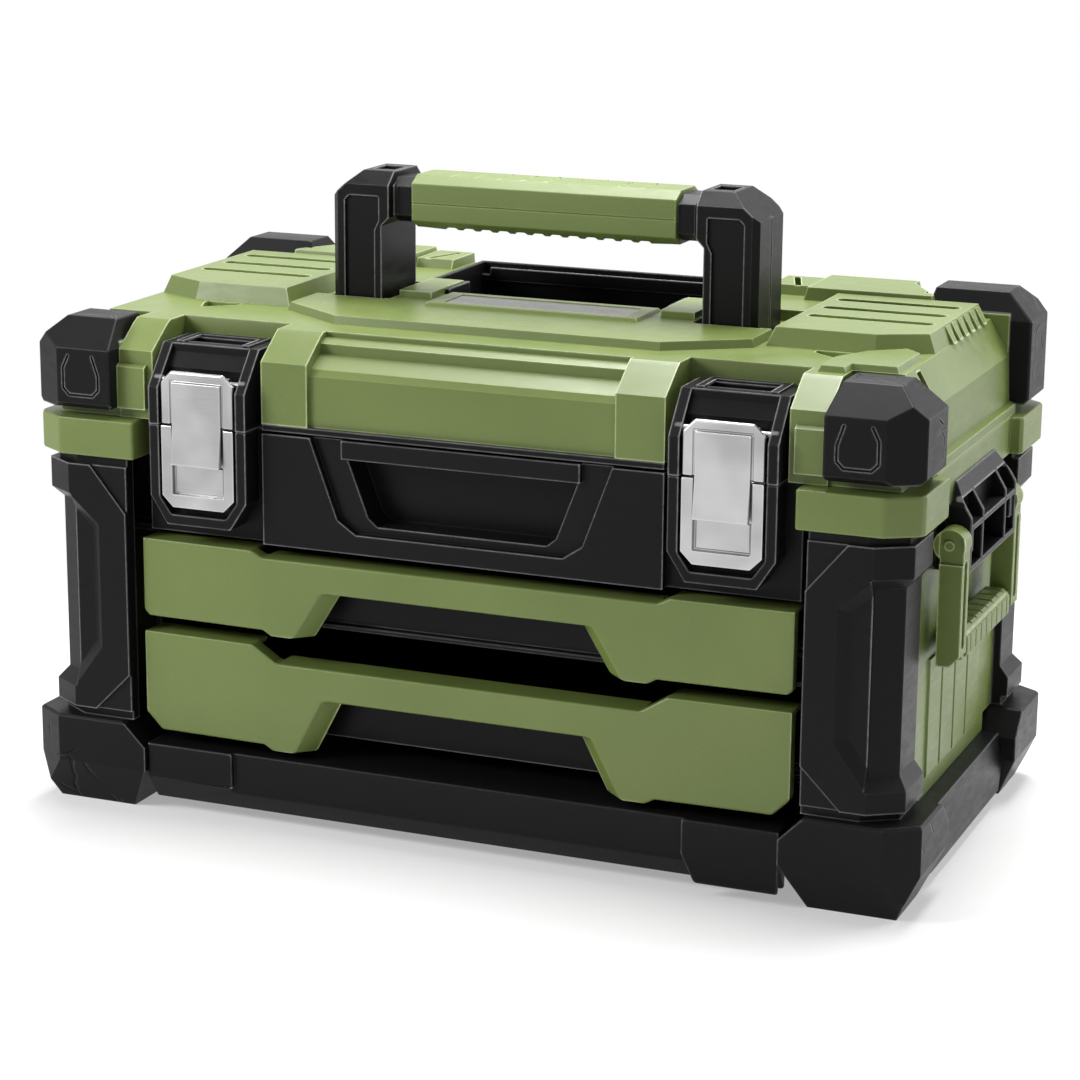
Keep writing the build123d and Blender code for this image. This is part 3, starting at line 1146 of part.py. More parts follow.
def make_post():
    """Handle post: a chamfered head over a slimmer stem that slides in the lid."""
    with BuildPart() as post:
        outline = [
            (STEM_IN, POST_BOTTOM_UP), (POST_OUT, POST_BOTTOM_UP), (POST_OUT, POST_TOP_Z - POST_CHAMFER_Z),
            (POST_OUT - POST_CHAMFER_X, POST_TOP_Z), (HEAD_IN, POST_TOP_Z),
            (HEAD_IN, POST_KNEE_Z + POST_KNEE), (STEM_IN, POST_KNEE_Z),
        ]
        prism_y(outline, POST_Y0, POST_Y1)
        side = [
            (POST_Y0, POST_BOTTOM_UP), (POST_Y0, POST_TOP_Z - POST_BEVEL_Z),
            (POST_Y0 + POST_BEVEL_Y, POST_TOP_Z), (POST_Y1 - POST_BEVEL_Y, POST_TOP_Z),
            (POST_Y1, POST_TOP_Z - POST_BEVEL_Z), (POST_Y1, POST_BOTTOM_UP),
        ]
        prism_x(side, HEAD_IN, POST_OUT, Mode.INTERSECT)
        plan = [
            (HEAD_IN, POST_Y0), (POST_OUT - POST_EDGE, POST_Y0), (POST_OUT, POST_Y0 + POST_EDGE),
            (POST_OUT, POST_Y1 - POST_EDGE), (POST_OUT - POST_EDGE, POST_Y1), (HEAD_IN, POST_Y1),
        ]
        prism_z(plan, POST_BOTTOM_UP, POST_TOP_Z, Mode.INTERSECT)
        recess_in = STEM_IN + SUNK_FOOT
        recess_out = POST_OUT - SUNK_EDGE
        recess_top = POST_TOP_Z - SUNK_DROP
        recess = [
            (recess_in, PIT_Z + SUNK_FOOT), (recess_out, PIT_Z + SUNK_FOOT),
            (recess_out, recess_top - SUNK_CORNER), (recess_out - SUNK_CORNER, recess_top),
            (recess_in - SUNK_CORNER, recess_top),
            (recess_in - SUNK_CORNER, POST_KNEE_Z + SUNK_CORNER), (recess_in, POST_KNEE_Z - SUNK_CORNER),
        ]
        prism_y(recess, POST_Y0, POST_Y0 + SUNK_DEPTH, Mode.SUBTRACT)
        prism_y(recess, POST_Y1 - SUNK_DEPTH, POST_Y1, Mode.SUBTRACT)
        middle = core_y()
        slit = (middle - SUNK_DEPTH / 2, middle + SUNK_DEPTH / 2)
        block(POST_OUT - SUNK_DEPTH, POST_OUT, *slit, PIT_Z, POST_TOP_Z, Mode.SUBTRACT)
        top_x = (HEAD_IN + POST_OUT - POST_CHAMFER_X) / 2
        top_xs = (top_x - POST_DISH_W / 2, top_x + POST_DISH_W / 2)
        top_ys = (middle - POST_DISH_L / 2, middle + POST_DISH_L / 2)
        block(*top_xs, *top_ys, POST_TOP_Z - SUNK_DEPTH, POST_TOP_Z, Mode.SUBTRACT)
        rod_x(HEAD_IN, HEAD_IN + CORE_SOCKET, middle, core_z(), CORE_R + PIN_GAP, Mode.SUBTRACT)
    return post


def grip_section(inset=0.0):
    """Outline of the grip in (y, z), optionally drawn in all round."""
    y0 = GRIP_Y0 + inset
    y1 = GRIP_Y0 + GRIP_D - inset
    z0 = GRIP_BOTTOM_Z + inset
    z1 = GRIP_TOP_Z - inset
    return [
        (y0 + GRIP_CHAMFER_Y, z0), (y1 - GRIP_CHAMFER_Y, z0), (y1, z0 + GRIP_CHAMFER_Z),
        (y1, z1 - GRIP_CHAMFER_Z), (y1 - GRIP_CHAMFER_Y, z1), (y0 + GRIP_CHAMFER_Y, z1),
        (y0, z1 - GRIP_CHAMFER_Z), (y0, z0 + GRIP_CHAMFER_Z),
    ]


def make_grip_half(upper):
    """Upper or lower shell of the grip, split at the seam and bored for the core."""
    half = GRIP_L / 2
    with BuildPart() as grip:
        prism_x(grip_section(), -half, half)
        if upper:
            block(-half, half, GRIP_Y0, GRIP_Y0 + GRIP_D, GRIP_BOTTOM_Z, GRIP_SEAM_Z, Mode.SUBTRACT)
            for index in range(TOP_GROOVE_COUNT):
                x = (index - (TOP_GROOVE_COUNT - 1) / 2) * GRIP_L / (TOP_GROOVE_COUNT + 2)
                ys = (GRIP_Y0 + GRIP_CHAMFER_Y, GRIP_Y0 + GRIP_D - GRIP_CHAMFER_Y)
                xs = (x - TOP_GROOVE_W / 2, x + TOP_GROOVE_W / 2)
                block(*xs, *ys, GRIP_TOP_Z - GROOVE_DEPTH, GRIP_TOP_Z, Mode.SUBTRACT)
        else:
            block(-half, half, GRIP_Y0, GRIP_Y0 + GRIP_D, GRIP_SEAM_Z, GRIP_TOP_Z, Mode.SUBTRACT)
            for index in range(FINGER_GROOVE_COUNT):
                x = (index - (FINGER_GROOVE_COUNT - 1) / 2) * GRIP_L / (FINGER_GROOVE_COUNT + 3)
                ys = (GRIP_Y0, GRIP_Y0 + GRIP_D)
                groove_zs = (GRIP_BOTTOM_Z, GRIP_BOTTOM_Z + FINGER_GROOVE_DEPTH)
                xs = (x - FINGER_GROOVE_W / 2, x + FINGER_GROOVE_W / 2)
                block(*xs, *ys, *groove_zs, Mode.SUBTRACT)
        rod_x(-half, half, core_y(), core_z(), CORE_R + PIN_GAP, Mode.SUBTRACT)
    return grip


def make_collar_ring():
    """Black collar between the grip and a post's head."""
    half = GRIP_L / 2
    with BuildPart() as ring:
        prism_x(grip_section(COLLAR_INSET), half, HEAD_IN)
        rod_x(half, HEAD_IN, core_y(), core_z(), CORE_R + PIN_GAP, Mode.SUBTRACT)
        block(HEAD_IN - 2.5, HEAD_IN - 1, GRIP_Y0, GRIP_Y0 + COLLAR_INSET + 1.5, GRIP_BOTTOM_Z, GRIP_TOP_Z,
              Mode.SUBTRACT)
    return ring


def make_core():
    """Steel rod through the grip and into both posts."""
    with BuildPart() as core:
        end = HEAD_IN + CORE_SOCKET - CORE_END_GAP
        rod_x(-end, end, core_y(), core_z(), CORE_R)
    return core


# ---------------------------------------------------------------- draw latches, right-hand one
LATCH_IN = LATCH_X - LATCH_W / 2
LATCH_OUT = LATCH_X + LATCH_W / 2
PIVOT_Y = LATCH_Y + LATCH_PIVOT_BACK


def make_lever():
    """Latch lever: a pressed frame, a tongue that reaches below the seam and two pivot eyes."""
    half = TONGUE_W / 2
    with BuildPart() as lever:
        plate = [
            (LATCH_IN, LID_Z + 1), (LATCH_IN, LATCH_TOP_Z - LATCH_EAR), (LATCH_IN + LATCH_EAR, LATCH_TOP_Z),
            (LATCH_OUT - LATCH_EAR, LATCH_TOP_Z), (LATCH_OUT, LATCH_TOP_Z - LATCH_EAR),
            (LATCH_OUT, LID_Z + 1),
        ]
        prism_y(plate, LATCH_Y, LATCH_Y + LATCH_T)
        rim = lever.faces().sort_by(Axis.Y)[0].edges()
        chamfer(rim.filter_by(Axis.Z) + rim.sort_by(Axis.Z)[-3:], LATCH_EDGE)
        sink = (LATCH_IN + LATCH_BORDER, LATCH_OUT - LATCH_BORDER)
        block(*sink, LATCH_Y, LATCH_Y + LATCH_GROOVE, LID_Z + 1, TONGUE_TOP_Z + LATCH_GROOVE, Mode.SUBTRACT)
        tongue = [
            (LATCH_Y - TONGUE_RAISE, TONGUE_TOP_Z), (LATCH_Y + LATCH_T, TONGUE_TOP_Z),
            (LATCH_Y + LATCH_T, LID_Z), (LATCH_Y + LATCH_T - TONGUE_KICK, TONGUE_BOTTOM_Z),
            (LATCH_Y - TONGUE_RAISE - TONGUE_KICK, TONGUE_BOTTOM_Z), (LATCH_Y - TONGUE_RAISE, LID_Z),
        ]
        prism_x(tongue, LATCH_X - half, LATCH_X + half)
        for x in (LATCH_IN + 5, LATCH_OUT - 9):
            rod_x(x, x + 4, PIVOT_Y, LATCH_PIVOT_Z, LATCH_EYE_R)
            eye_zs = (LATCH_PIVOT_Z - LATCH_EYE_R, LATCH_PIVOT_Z + LATCH_EYE_R)
            block(x, x + 4, LATCH_Y + LATCH_T, PIVOT_Y, *eye_zs)
            rod_x(x, x + 4, PIVOT_Y, LATCH_PIVOT_Z, LATCH_PIN_R + PIN_GAP, Mode.SUBTRACT)
    return lever


def make_keeper():
    """Lower latch frame on the case: a U-shaped surround and a sunk sill behind the tongue."""
    top = SEAM_Z
    half = TONGUE_W / 2 + TONGUE_PLAY
    with BuildPart() as keeper:
        outline = [
            (LATCH_IN, top), (LATCH_IN, LATCH_BOTTOM_Z + LATCH_EAR), (LATCH_IN + LATCH_EAR, LATCH_BOTTOM_Z),
            (LATCH_OUT - LATCH_EAR, LATCH_BOTTOM_Z), (LATCH_OUT, LATCH_BOTTOM_Z + LATCH_EAR),
            (LATCH_OUT, top),
        ]
        prism_y(outline, LATCH_Y, LATCH_Y + BEZEL_FLOOR_SET)
        sill_back = LATCH_Y + LATCH_T + TONGUE_PLAY
        block(LATCH_X - half, LATCH_X + half, LATCH_Y, sill_back, KEEPER_SILL_Z, top, Mode.SUBTRACT)
        sill_zs = (KEEPER_SILL_Z + LATCH_GROOVE, TONGUE_BOTTOM_Z - LATCH_GROOVE)
        sill_half = half - LATCH_GROOVE
        block(LATCH_X - sill_half, LATCH_X + sill_half, LATCH_Y + 2 * LATCH_GROOVE, sill_back, *sill_zs)
    return keeper


def make_bezel():
    """Black latch surround on the case."""
    half = BEZEL_W / 2
    x0 = LATCH_X - half
    x1 = LATCH_X + half
    back = FASCIA_Y - FASCIA_T
    with BuildPart() as bezel:
        outline = [
            (x0, SEAM_Z), (x0, BEZEL_KINK_Z), (x0 + BEZEL_EAR, BEZEL_BOTTOM_Z),
            (x1 - BEZEL_EAR, BEZEL_BOTTOM_Z), (x1, BEZEL_KINK_Z), (x1, SEAM_Z),
        ]
        prism_y(outline, LATCH_Y, back)
        side = BEZEL_SIDE
        recess = [
            (x0 + side, SEAM_Z), (x0 + side, BEZEL_KINK_Z), (x0 + BEZEL_EAR + 3, BEZEL_BOTTOM_Z + side),
            (x1 - BEZEL_EAR - 3, BEZEL_BOTTOM_Z + side), (x1 - side, BEZEL_KINK_Z), (x1 - side, SEAM_Z),
        ]
        prism_y(recess, LATCH_Y, LATCH_Y + BEZEL_FLOOR_SET, Mode.SUBTRACT)
    return bezel


def make_housing():
    """Black latch housing on the lid: two sloped cheeks, a back wall and a top bar."""
    half = BEZEL_W / 2
    x0 = LATCH_X - half
    x1 = LATCH_X + half
    back = -HALF_D + POCKET_BACK_SET
    slope_end = LATCH_Y + HOUSING_SLOPE_Y
    bottom = LID_Z
    with BuildPart() as housing:
        profile = [
            (LATCH_Y, bottom), (LATCH_Y, HOUSING_KINK_Z), (slope_end, HOUSING_TOP_Z), (back, HOUSING_TOP_Z),
            (back, bottom),
        ]
        prism_x(profile, x0, x1)
        wall = PIVOT_Y + LATCH_EYE_R + HOUSING_BACK
        hollow = [
            (LATCH_Y, bottom), (LATCH_Y, HOUSING_TOP_Z), (slope_end, HOUSING_TOP_Z),
            (slope_end, HOUSING_TOP_Z - 5), (wall, LATCH_TOP_Z), (wall, bottom),
        ]
        prism_x(hollow, x0 + BEZEL_SIDE, x1 - BEZEL_SIDE, Mode.SUBTRACT)
        rim_x0 = x0 + HOUSING_RIM
        rim_x1 = x1 - HOUSING_RIM
        dent_xs = (rim_x0 + HOUSING_RIM / 2, rim_x1 - HOUSING_RIM / 2)
        dent_ys = (slope_end + HOUSING_RIM, back - HOUSING_RIM)
        block(*dent_xs, *dent_ys, HOUSING_TOP_Z - HOUSING_STOP, HOUSING_TOP_Z, Mode.SUBTRACT)
        stop_top = HOUSING_TOP_Z + HOUSING_STOP / 2
        for stop_x in (rim_x0, rim_x1 - HOUSING_STOP * 2):
            stop_xs = (stop_x, stop_x + HOUSING_STOP * 2)
            block(*stop_xs, slope_end + HOUSING_STOP, back, HOUSING_TOP_Z, stop_top)
        block(rim_x0, rim_x1, back - HOUSING_STOP * 2, back, HOUSING_TOP_Z, stop_top)
        rod_x(x0 + 2, x1 - 2, PIVOT_Y, LATCH_PIVOT_Z, LATCH_PIN_R + PIN_GAP, Mode.SUBTRACT)
    return housing


def make_latch_pins():
    """Steel pivot pins of both latches."""
    half = BEZEL_W / 2
    with BuildPart() as pins:
        for x in (-LATCH_X, LATCH_X):
            rod_x(x - half + 2.2, x + half - 2.2, PIVOT_Y, LATCH_PIVOT_Z, LATCH_PIN_R)
    return pins


# ---------------------------------------------------------------- side handles, right-hand one
BAIL_X0 = BAIL_REACH - BAIL_T
BAIL_PIVOT_X = BAIL_REACH - BAIL_T / 2 - 1.5
ARM_IN = BAIL_HALF - BAIL_ARM_W


def make_bail():
    """Green drop handle: two channelled arms with closed eyes and a bar between them."""
    with BuildPart() as bail:
        arm = [
            (BAIL_X0, BAIL_PIVOT_Z), (BAIL_X0, BAIL_BOTTOM_Z), (BAIL_REACH - BAIL_CORNER, BAIL_BOTTOM_Z),
            (BAIL_REACH, BAIL_BOTTOM_Z + BAIL_CORNER), (BAIL_REACH, BAIL_PIVOT_Z),
        ]
        channel_l = BAIL_PIVOT_Z - BAIL_BOTTOM_Z - 2 * BAIL_EYE_R
        channel_z = (BAIL_PIVOT_Z + BAIL_BOTTOM_Z) / 2
        for side in (-1, 1):
            ys = sorted((side * ARM_IN, side * BAIL_HALF))
            prism_y(arm, *ys)
            rod_y(*ys, BAIL_PIVOT_X, BAIL_PIVOT_Z, BAIL_EYE_R)
            with BuildSketch(Plane.YZ.offset(BAIL_REACH - BAIL_CHANNEL_DEPTH)) as channel:
                with Locations((side * (ARM_IN + BAIL_HALF) / 2, channel_z)):
                    SlotOverall(channel_l, BAIL_CHANNEL_W, rotation=90)
            extrude(channel.sketch, amount=BAIL_CHANNEL_DEPTH, dir=(1, 0, 0), mode=Mode.SUBTRACT)
            head_ys = sorted((side * (BAIL_HALF - BAIL_HEAD_STEP), side * BAIL_HALF))
            head_z = BAIL_PIVOT_Z - BAIL_EYE_R - BAIL_HEAD_STEP
            block(BAIL_X0, BAIL_REACH, *head_ys, head_z, BAIL_PIVOT_Z + BAIL_EYE_R, Mode.SUBTRACT)
            rod_y(*head_ys, BAIL_PIVOT_X, BAIL_PIVOT_Z, SIDE_PIN_R)
            bore_ys = sorted((side * ARM_IN, side * (BAIL_HALF - BAIL_EYE_WALL)))
            rod_y(*bore_ys, BAIL_PIVOT_X, BAIL_PIVOT_Z, SIDE_PIN_R + PIN_GAP, Mode.SUBTRACT)
        block(BAIL_X0 + 2, BAIL_REACH - 2, -ARM_IN, ARM_IN, BAIL_BOTTOM_Z + 2, BAIL_BOTTOM_Z + BAIL_BAR_H)
    return bail


def make_side_grip():
    """Ribbed sleeve on the side handle's bar."""
    half = SIDE_GRIP_D / 2
    x = BAIL_REACH - half
    z = BAIL_BOTTOM_Z + 1 + BAIL_BAR_H / 2
    cut = half * 0.42
    with BuildPart() as grip:
        outline = [
            (x - half + cut, z - half), (x + half - cut, z - half), (x + half, z - half + cut),
            (x + half, z + half - cut), (x + half - cut, z + half), (x - half + cut, z + half),
            (x - half, z + half - cut), (x - half, z - half + cut),
        ]
        prism_y(outline, -SIDE_GRIP_HALF, SIDE_GRIP_HALF)
        for index in range(SIDE_RIB_COUNT):
            y = (index - (SIDE_RIB_COUNT - 1) / 2) * SIDE_GRIP_HALF * 2 / SIDE_RIB_COUNT
            block(x + half - 1.2, x + half, y - 1, y + 1, z - half, z + half, Mode.SUBTRACT)
            block(x - half, x + half, y - 1, y + 1, z + half - 1.2, z + half, Mode.SUBTRACT)
        block(BAIL_X0 + 2, BAIL_REACH - 2, -SIDE_GRIP_HALF, SIDE_GRIP_HALF, BAIL_BOTTOM_Z + 2,
              BAIL_BOTTOM_Z + BAIL_BAR_H, Mode.SUBTRACT)
    return grip


def make_bracket():
    """Black ribbed bracket that carries the side handle's pins."""
    outer = BAIL_REACH
    with BuildPart() as bracket:
        profile = [
            (WALL_X, BRACKET_BOTTOM_Z), (outer, BRACKET_BOTTOM_Z), (outer, BRACKET_TOP_Z - BRACKET_SLOPE_H),
            (outer - BRACKET_SLOPE, BRACKET_TOP_Z), (STRIP_X, BRACKET_TOP_Z), (STRIP_X, COLLAR_BOTTOM),
            (WALL_X, COLLAR_BOTTOM),
        ]
        prism_y(profile, -BRACKET_HALF, BRACKET_HALF)
        for side in (-1, 1):
            ear_y = side * BRACKET_HALF
            ear = [
                (ear_y, BRACKET_TOP_Z - 1.5 * BRACKET_EAR), (ear_y, BRACKET_TOP_Z),
                (ear_y - side * BRACKET_EAR, BRACKET_TOP_Z),
            ]
            prism_x(ear, STRIP_X, outer, Mode.SUBTRACT)
        wall = BRACKET_WALL
        ribs = (-BRACKET_HALF, -BRACKET_RIB_Y, BRACKET_RIB_Y, BRACKET_HALF - wall)
        shelf = (BRACKET_BOTTOM_Z + BRACKET_TOP_Z) / 2
        for y0, y1 in zip(ribs, ribs[1:]):
            block(WALL_X + 4, outer, y0 + wall, y1, BRACKET_BOTTOM_Z + wall, shelf - wall / 2, Mode.SUBTRACT)
            block(STRIP_X + wall, outer, y0 + wall, y1, shelf + wall / 2, BRACKET_TOP_Z - BRACKET_ROOF,
                  Mode.SUBTRACT)
        for side in (-1, 1):
            ys = sorted((side * (BRACKET_HALF - 10), side * (BRACKET_HALF - wall)))
            block(WALL_X + 4, outer - 1, *ys, BAIL_PIVOT_Z - 8, BAIL_PIVOT_Z + 8)
        for side in (-1, 1):
            rod_y(*sorted((side * (BRACKET_HALF - 10), side * BRACKET_HALF)), BAIL_PIVOT_X, BAIL_PIVOT_Z,
                  SIDE_PIN_R + PIN_GAP, Mode.SUBTRACT)
    return bracket


def make_side_pins():
    """Steel pins of both side handles."""
    with BuildPart() as pins:
        for x in (-BAIL_PIVOT_X, BAIL_PIVOT_X):
            for side in (-1, 1):
                ys = sorted((side * (BRACKET_HALF - 9), side * (BAIL_HALF - BAIL_EYE_WALL - PIN_GAP)))
                rod_y(*ys, x, BAIL_PIVOT_Z, SIDE_PIN_R)
    return pins


# ---------------------------------------------------------------- rear hinges
def make_hinge_leaves(on_lid):
    """Steel leaves: outer knuckles on the case, the middle knuckle on the lid."""
    half = HINGE_L / 2
    with BuildPart() as leaves:
        for x in hinge_holes():
            if on_lid:
                spans = [(x - half + HINGE_END + FIT, x + half - HINGE_END - FIT)]
                plate_y = (LID_BACK_Y - HINGE_LEAF_T, LID_BACK_Y)
                plate_z = (HINGE_Z - 3, LID_SCREW_Z + 7)
                screw_z = LID_SCREW_Z
                block(x - half, x + half, *plate_y, HINGE_Z + HINGE_R + FIT * 2, plate_z[1])
                block(*spans[0], *plate_y, plate_z[0], plate_z[1])
            else:
                spans = [(x - half, x - half + HINGE_END), (x + half - HINGE_END, x + half)]
                plate_y = (STRIP_Y, STRIP_Y + HINGE_LEAF_T)
                plate_z = (COLLAR_BOTTOM + 2, HINGE_Z)
                screw_z = CASE_SCREW_Z
                block(x - half, x + half, *plate_y, plate_z[0], SEAM_Z)
            for x0, x1 in spans:
                rod_x(x0, x1, HINGE_Y, HINGE_Z, HINGE_R)
                if on_lid:
                    block(x0, x1, LID_BACK_Y - HINGE_LEAF_T, HINGE_Y, HINGE_Z - 3, HINGE_Z + 3)
                else:
                    block(x0, x1, *plate_y, SEAM_Z, HINGE_Z)
        for x in hinge_holes():
            rod_x(x - half, x + half, HINGE_Y, HINGE_Z, HINGE_PIN_R + PIN_GAP, Mode.SUBTRACT)
        for x in leaf_screw_xs():
            rod_y(plate_y[0], plate_y[1], x, screw_z, SCREW_R + PIN_GAP, Mode.SUBTRACT)
    return leaves


def make_hinge_pins():
    """Steel hinge pins."""
    half = HINGE_L / 2
    with BuildPart() as pins:
        for x in hinge_holes():
            rod_x(x - half, x + half, HINGE_Y, HINGE_Z, HINGE_PIN_R)
    return pins


def make_leaf_screws(face_y, z):
    """Pan-head screws that hold one set of hinge leaves."""
    with BuildPart() as screws:
        for x in leaf_screw_xs():
            rod_y(face_y - HINGE_LEAF_T - SCREW_L + 1, face_y, x, z, SCREW_R)
            rod_y(face_y, face_y + SCREW_HEAD_H, x, z, SCREW_HEAD_R)
    return screws


# ---------------------------------------------------------------- build and write every piece
save_corners(make_foot(), "foot")
save(make_plinth(), "base_tray")
save_corners(make_pillar(), "pillar")
save_pair(make_side_panel(), "side_panel")
save(make_back_panel(), "back_panel")
save(make_collar(), "case_collar")
save(make_tub(), "top_tub")
save(make_grip_panel(), "front_grip_panel")
save_pair(make_cheek(), "drawer_cheek")
save(make_divider(), "drawer_divider")
for place, drawer in (("upper", UPPER_DRAWER), ("lower", LOWER_DRAWER)):
    save(make_drawer_front(drawer), f"drawer_{place}_front")
    save(make_tray(drawer), f"drawer_{place}_tray")

save(make_lid_shell(), "lid_shell")
save_pair(make_cap(CAP_FRONT_Z, CAP_W), "lid_cap_front")
save_pair(mirrored(make_cap(CAP_REAR_Z, CAP_REAR_W), Plane.XZ), "lid_cap_rear")
save(make_well(), "lid_well")
save(make_inset(), "lid_plate_inset")
save(make_liner(), "lid_liner")

save_pair(make_post(), "handle_post")
save(make_grip_half(True), "handle_grip_upper")
save(make_grip_half(False), "handle_grip_lower")
save_pair(make_collar_ring(), "handle_collar")
save(make_core(), "handle_core")

save_pair(make_lever(), "latch_lever")
save_pair(make_keeper(), "latch_keeper")
save_pair(make_bezel(), "latch_bezel")
save_pair(make_housing(), "latch_housing")
save(make_latch_pins(), "latch_pins")

save_pair(make_bail(), "side_handle_bail")
save_pair(make_side_grip(), "side_handle_grip")
save_pair(make_bracket(), "side_handle_bracket")
save(make_side_pins(), "side_handle_pins")

save(make_hinge_leaves(False), "hinge_leaves_case")
save(make_hinge_leaves(True), "hinge_leaves_lid")
save(make_hinge_pins(), "hinge_pins")
save(make_leaf_screws(STRIP_Y + HINGE_LEAF_T, CASE_SCREW_Z), "case_leaf_screws")
save(make_leaf_screws(LID_BACK_Y, LID_SCREW_Z), "lid_leaf_screws")
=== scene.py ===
"""Looks of the portable tool box: materials, softened edges, light and camera."""

import json
import math

import bmesh
import bpy
from mathutils import Matrix, Vector

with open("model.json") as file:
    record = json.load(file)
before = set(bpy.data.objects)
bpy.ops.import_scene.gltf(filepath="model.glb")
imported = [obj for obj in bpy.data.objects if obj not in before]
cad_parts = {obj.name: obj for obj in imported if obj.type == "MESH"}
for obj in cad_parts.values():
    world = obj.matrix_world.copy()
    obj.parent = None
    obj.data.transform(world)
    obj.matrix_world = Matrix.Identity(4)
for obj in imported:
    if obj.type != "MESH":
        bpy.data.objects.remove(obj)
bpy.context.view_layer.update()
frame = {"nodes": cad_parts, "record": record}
NODES = frame["nodes"]
MM = 0.001
EDGE_REACH = 1.5 * MM           # pale band along an outward edge: painted highlight with rubbed wear
BRUSH_SCALE = (60.0, 3200.0, 3200.0)
FINE_GRAIN = 1400.0             # noise scales, per metre
SCUFF_GRAIN = 60.0
CLOUD_GRAIN = 9.0
SCORE_CELLS = 26.0
SCORE_SHAKE = 6.0 * MM
SCORE_DEPTH = 0.8 * MM


# ---------------------------------------------------------------- materials
class Graph:
    """Short calls for building a node material."""

    def __init__(self, name):
        self.material = bpy.data.materials.new(name)
        self.material.use_nodes = True
        self.tree = self.material.node_tree
        self.shader = self.tree.nodes["Principled BSDF"]
        self.coords = self.add("ShaderNodeTexCoord").outputs["Object"]

    def add(self, kind, **values):
        node = self.tree.nodes.new(kind)
        for key, value in values.items():
            setattr(node, key, value)
        return node

    def link(self, source, target):
        self.tree.links.new(source, target)

    def scaled(self, factors):
        mapping = self.add("ShaderNodeMapping")
        mapping.inputs["Scale"].default_value = factors
        self.link(self.coords, mapping.inputs["Vector"])
        return mapping.outputs["Vector"]

    def noise(self, scale, detail=3.0, vector=None, roughness=0.55):
        node = self.add("ShaderNodeTexNoise")
        node.inputs["Scale"].default_value = scale
        node.inputs["Detail"].default_value = detail
        node.inputs["Roughness"].default_value = roughness
        self.link(vector or self.coords, node.inputs["Vector"])
        return node.outputs["Fac"]

    def ramp(self, source, low, high, start=0.0, end=1.0):
        node = self.add("ShaderNodeMapRange")
        node.inputs["From Min"].default_value = start
        node.inputs["From Max"].default_value = end
        node.inputs["To Min"].default_value = low
        node.inputs["To Max"].default_value = high
        self.link(source, node.inputs["Value"])
        return node.outputs["Result"]

    def math(self, operation, a, b):
        node = self.add("ShaderNodeMath", operation=operation)
        for socket, value in zip(node.inputs, (a, b)):
            if isinstance(value, (int, float)):
                socket.default_value = value
            else:
                self.link(value, socket)
        return node.outputs[0]

    def mix(self, factor, a, b):
        node = self.add("ShaderNodeMix", data_type="RGBA")
        self.link(factor, node.inputs["Factor"])
        for socket, value in ((node.inputs[6], a), (node.inputs[7], b)):
            if isinstance(value, tuple):
                socket.default_value = (*value, 1.0)
            else:
                self.link(value, socket)
        return node.outputs[2]

    def edge(self, reach):
        """1 on outward edges, 0 on the flats and in the corners."""
        inside = self.add("ShaderNodeAmbientOcclusion", samples=8, inside=True, only_local=True)
        inside.inputs["Distance"].default_value = reach
        return self.ramp(inside.outputs["AO"], 1.0, 0.0, 0.55, 0.88)

    def score(self):
        """Sparse angular lines, 1 in a line: knocks and mould marks on the corner guards."""
        cells = self.add("ShaderNodeTexVoronoi", feature="DISTANCE_TO_EDGE")
        cells.inputs["Scale"].default_value = SCORE_CELLS
        warp = self.add("ShaderNodeVectorMath", operation="ADD")
        self.link(self.coords, warp.inputs[0])
        shake = self.add("ShaderNodeTexNoise")
        shake.inputs["Scale"].default_value = SCUFF_GRAIN
        self.link(self.coords, shake.inputs["Vector"])
        small = self.add("ShaderNodeVectorMath", operation="SCALE")
        small.inputs["Scale"].default_value = SCORE_SHAKE
        self.link(shake.outputs["Color"], small.inputs[0])
        self.link(small.outputs[0], warp.inputs[1])
        self.link(warp.outputs[0], cells.inputs["Vector"])
        line = self.ramp(cells.outputs["Distance"], 1.0, 0.0, 0.008, 0.026)
        patch = self.ramp(self.noise(16.0, 2.0), 0.0, 1.0, 0.56, 0.60)
        return self.math("MULTIPLY", line, patch)

    def bump(self, height, strength, distance, normal=None):
        node = self.add("ShaderNodeBump")
        node.inputs["Strength"].default_value = strength
        node.inputs["Distance"].default_value = distance
        self.link(height, node.inputs["Height"])
        if normal:
            self.link(normal, node.inputs["Normal"])
        return node.outputs["Normal"]

    def plug(self, name, source):
        self.link(source, self.shader.inputs[name])


def plastic(name, base, light, dark, rough, grain, highlight_and_wear, shine=0.4, scored=False):
    """Moulded plastic: fine grain, soft mottling, paler edges (painted highlight with rubbed wear) and, on
    guards, scored lines.
    """
    g = Graph(name)
    cloud = g.noise(CLOUD_GRAIN, 4.0)
    fine = g.noise(FINE_GRAIN, 2.0)
    scuff = g.noise(SCUFF_GRAIN, 6.0, g.scaled((1.0, 1.0, 3.5)), 0.7)
    colour = g.mix(g.ramp(cloud, 0.0, 1.0, 0.35, 0.68), dark, base)
    colour = g.mix(g.ramp(fine, 0.0, 0.35, 0.45, 0.75), colour, light)
    # painted highlight: outward edges take the pale edge colour, broken up by scuffs as rubbed wear
    edge = g.math("MULTIPLY", g.edge(EDGE_REACH), g.ramp(scuff, 0.55, 1.0, 0.35, 0.6))
    colour = g.mix(edge, colour, highlight_and_wear)
    g.plug("Base Color", colour)
    spread = g.math("ADD", g.ramp(scuff, -0.06, 0.07, 0.3, 0.7), g.ramp(fine, -0.04, 0.04, 0.3, 0.7))
    g.plug("Roughness", g.math("ADD", spread, rough))
    relief = g.bump(cloud, 0.04, 1.0 * MM)
    if scored:
        relief = g.bump(g.math("MULTIPLY", g.score(), -1.0), 0.9, SCORE_DEPTH, relief)
    g.plug("Normal", g.bump(fine, grain, 0.12 * MM, relief))
    g.shader.inputs["Specular IOR Level"].default_value = shine
    return g.material


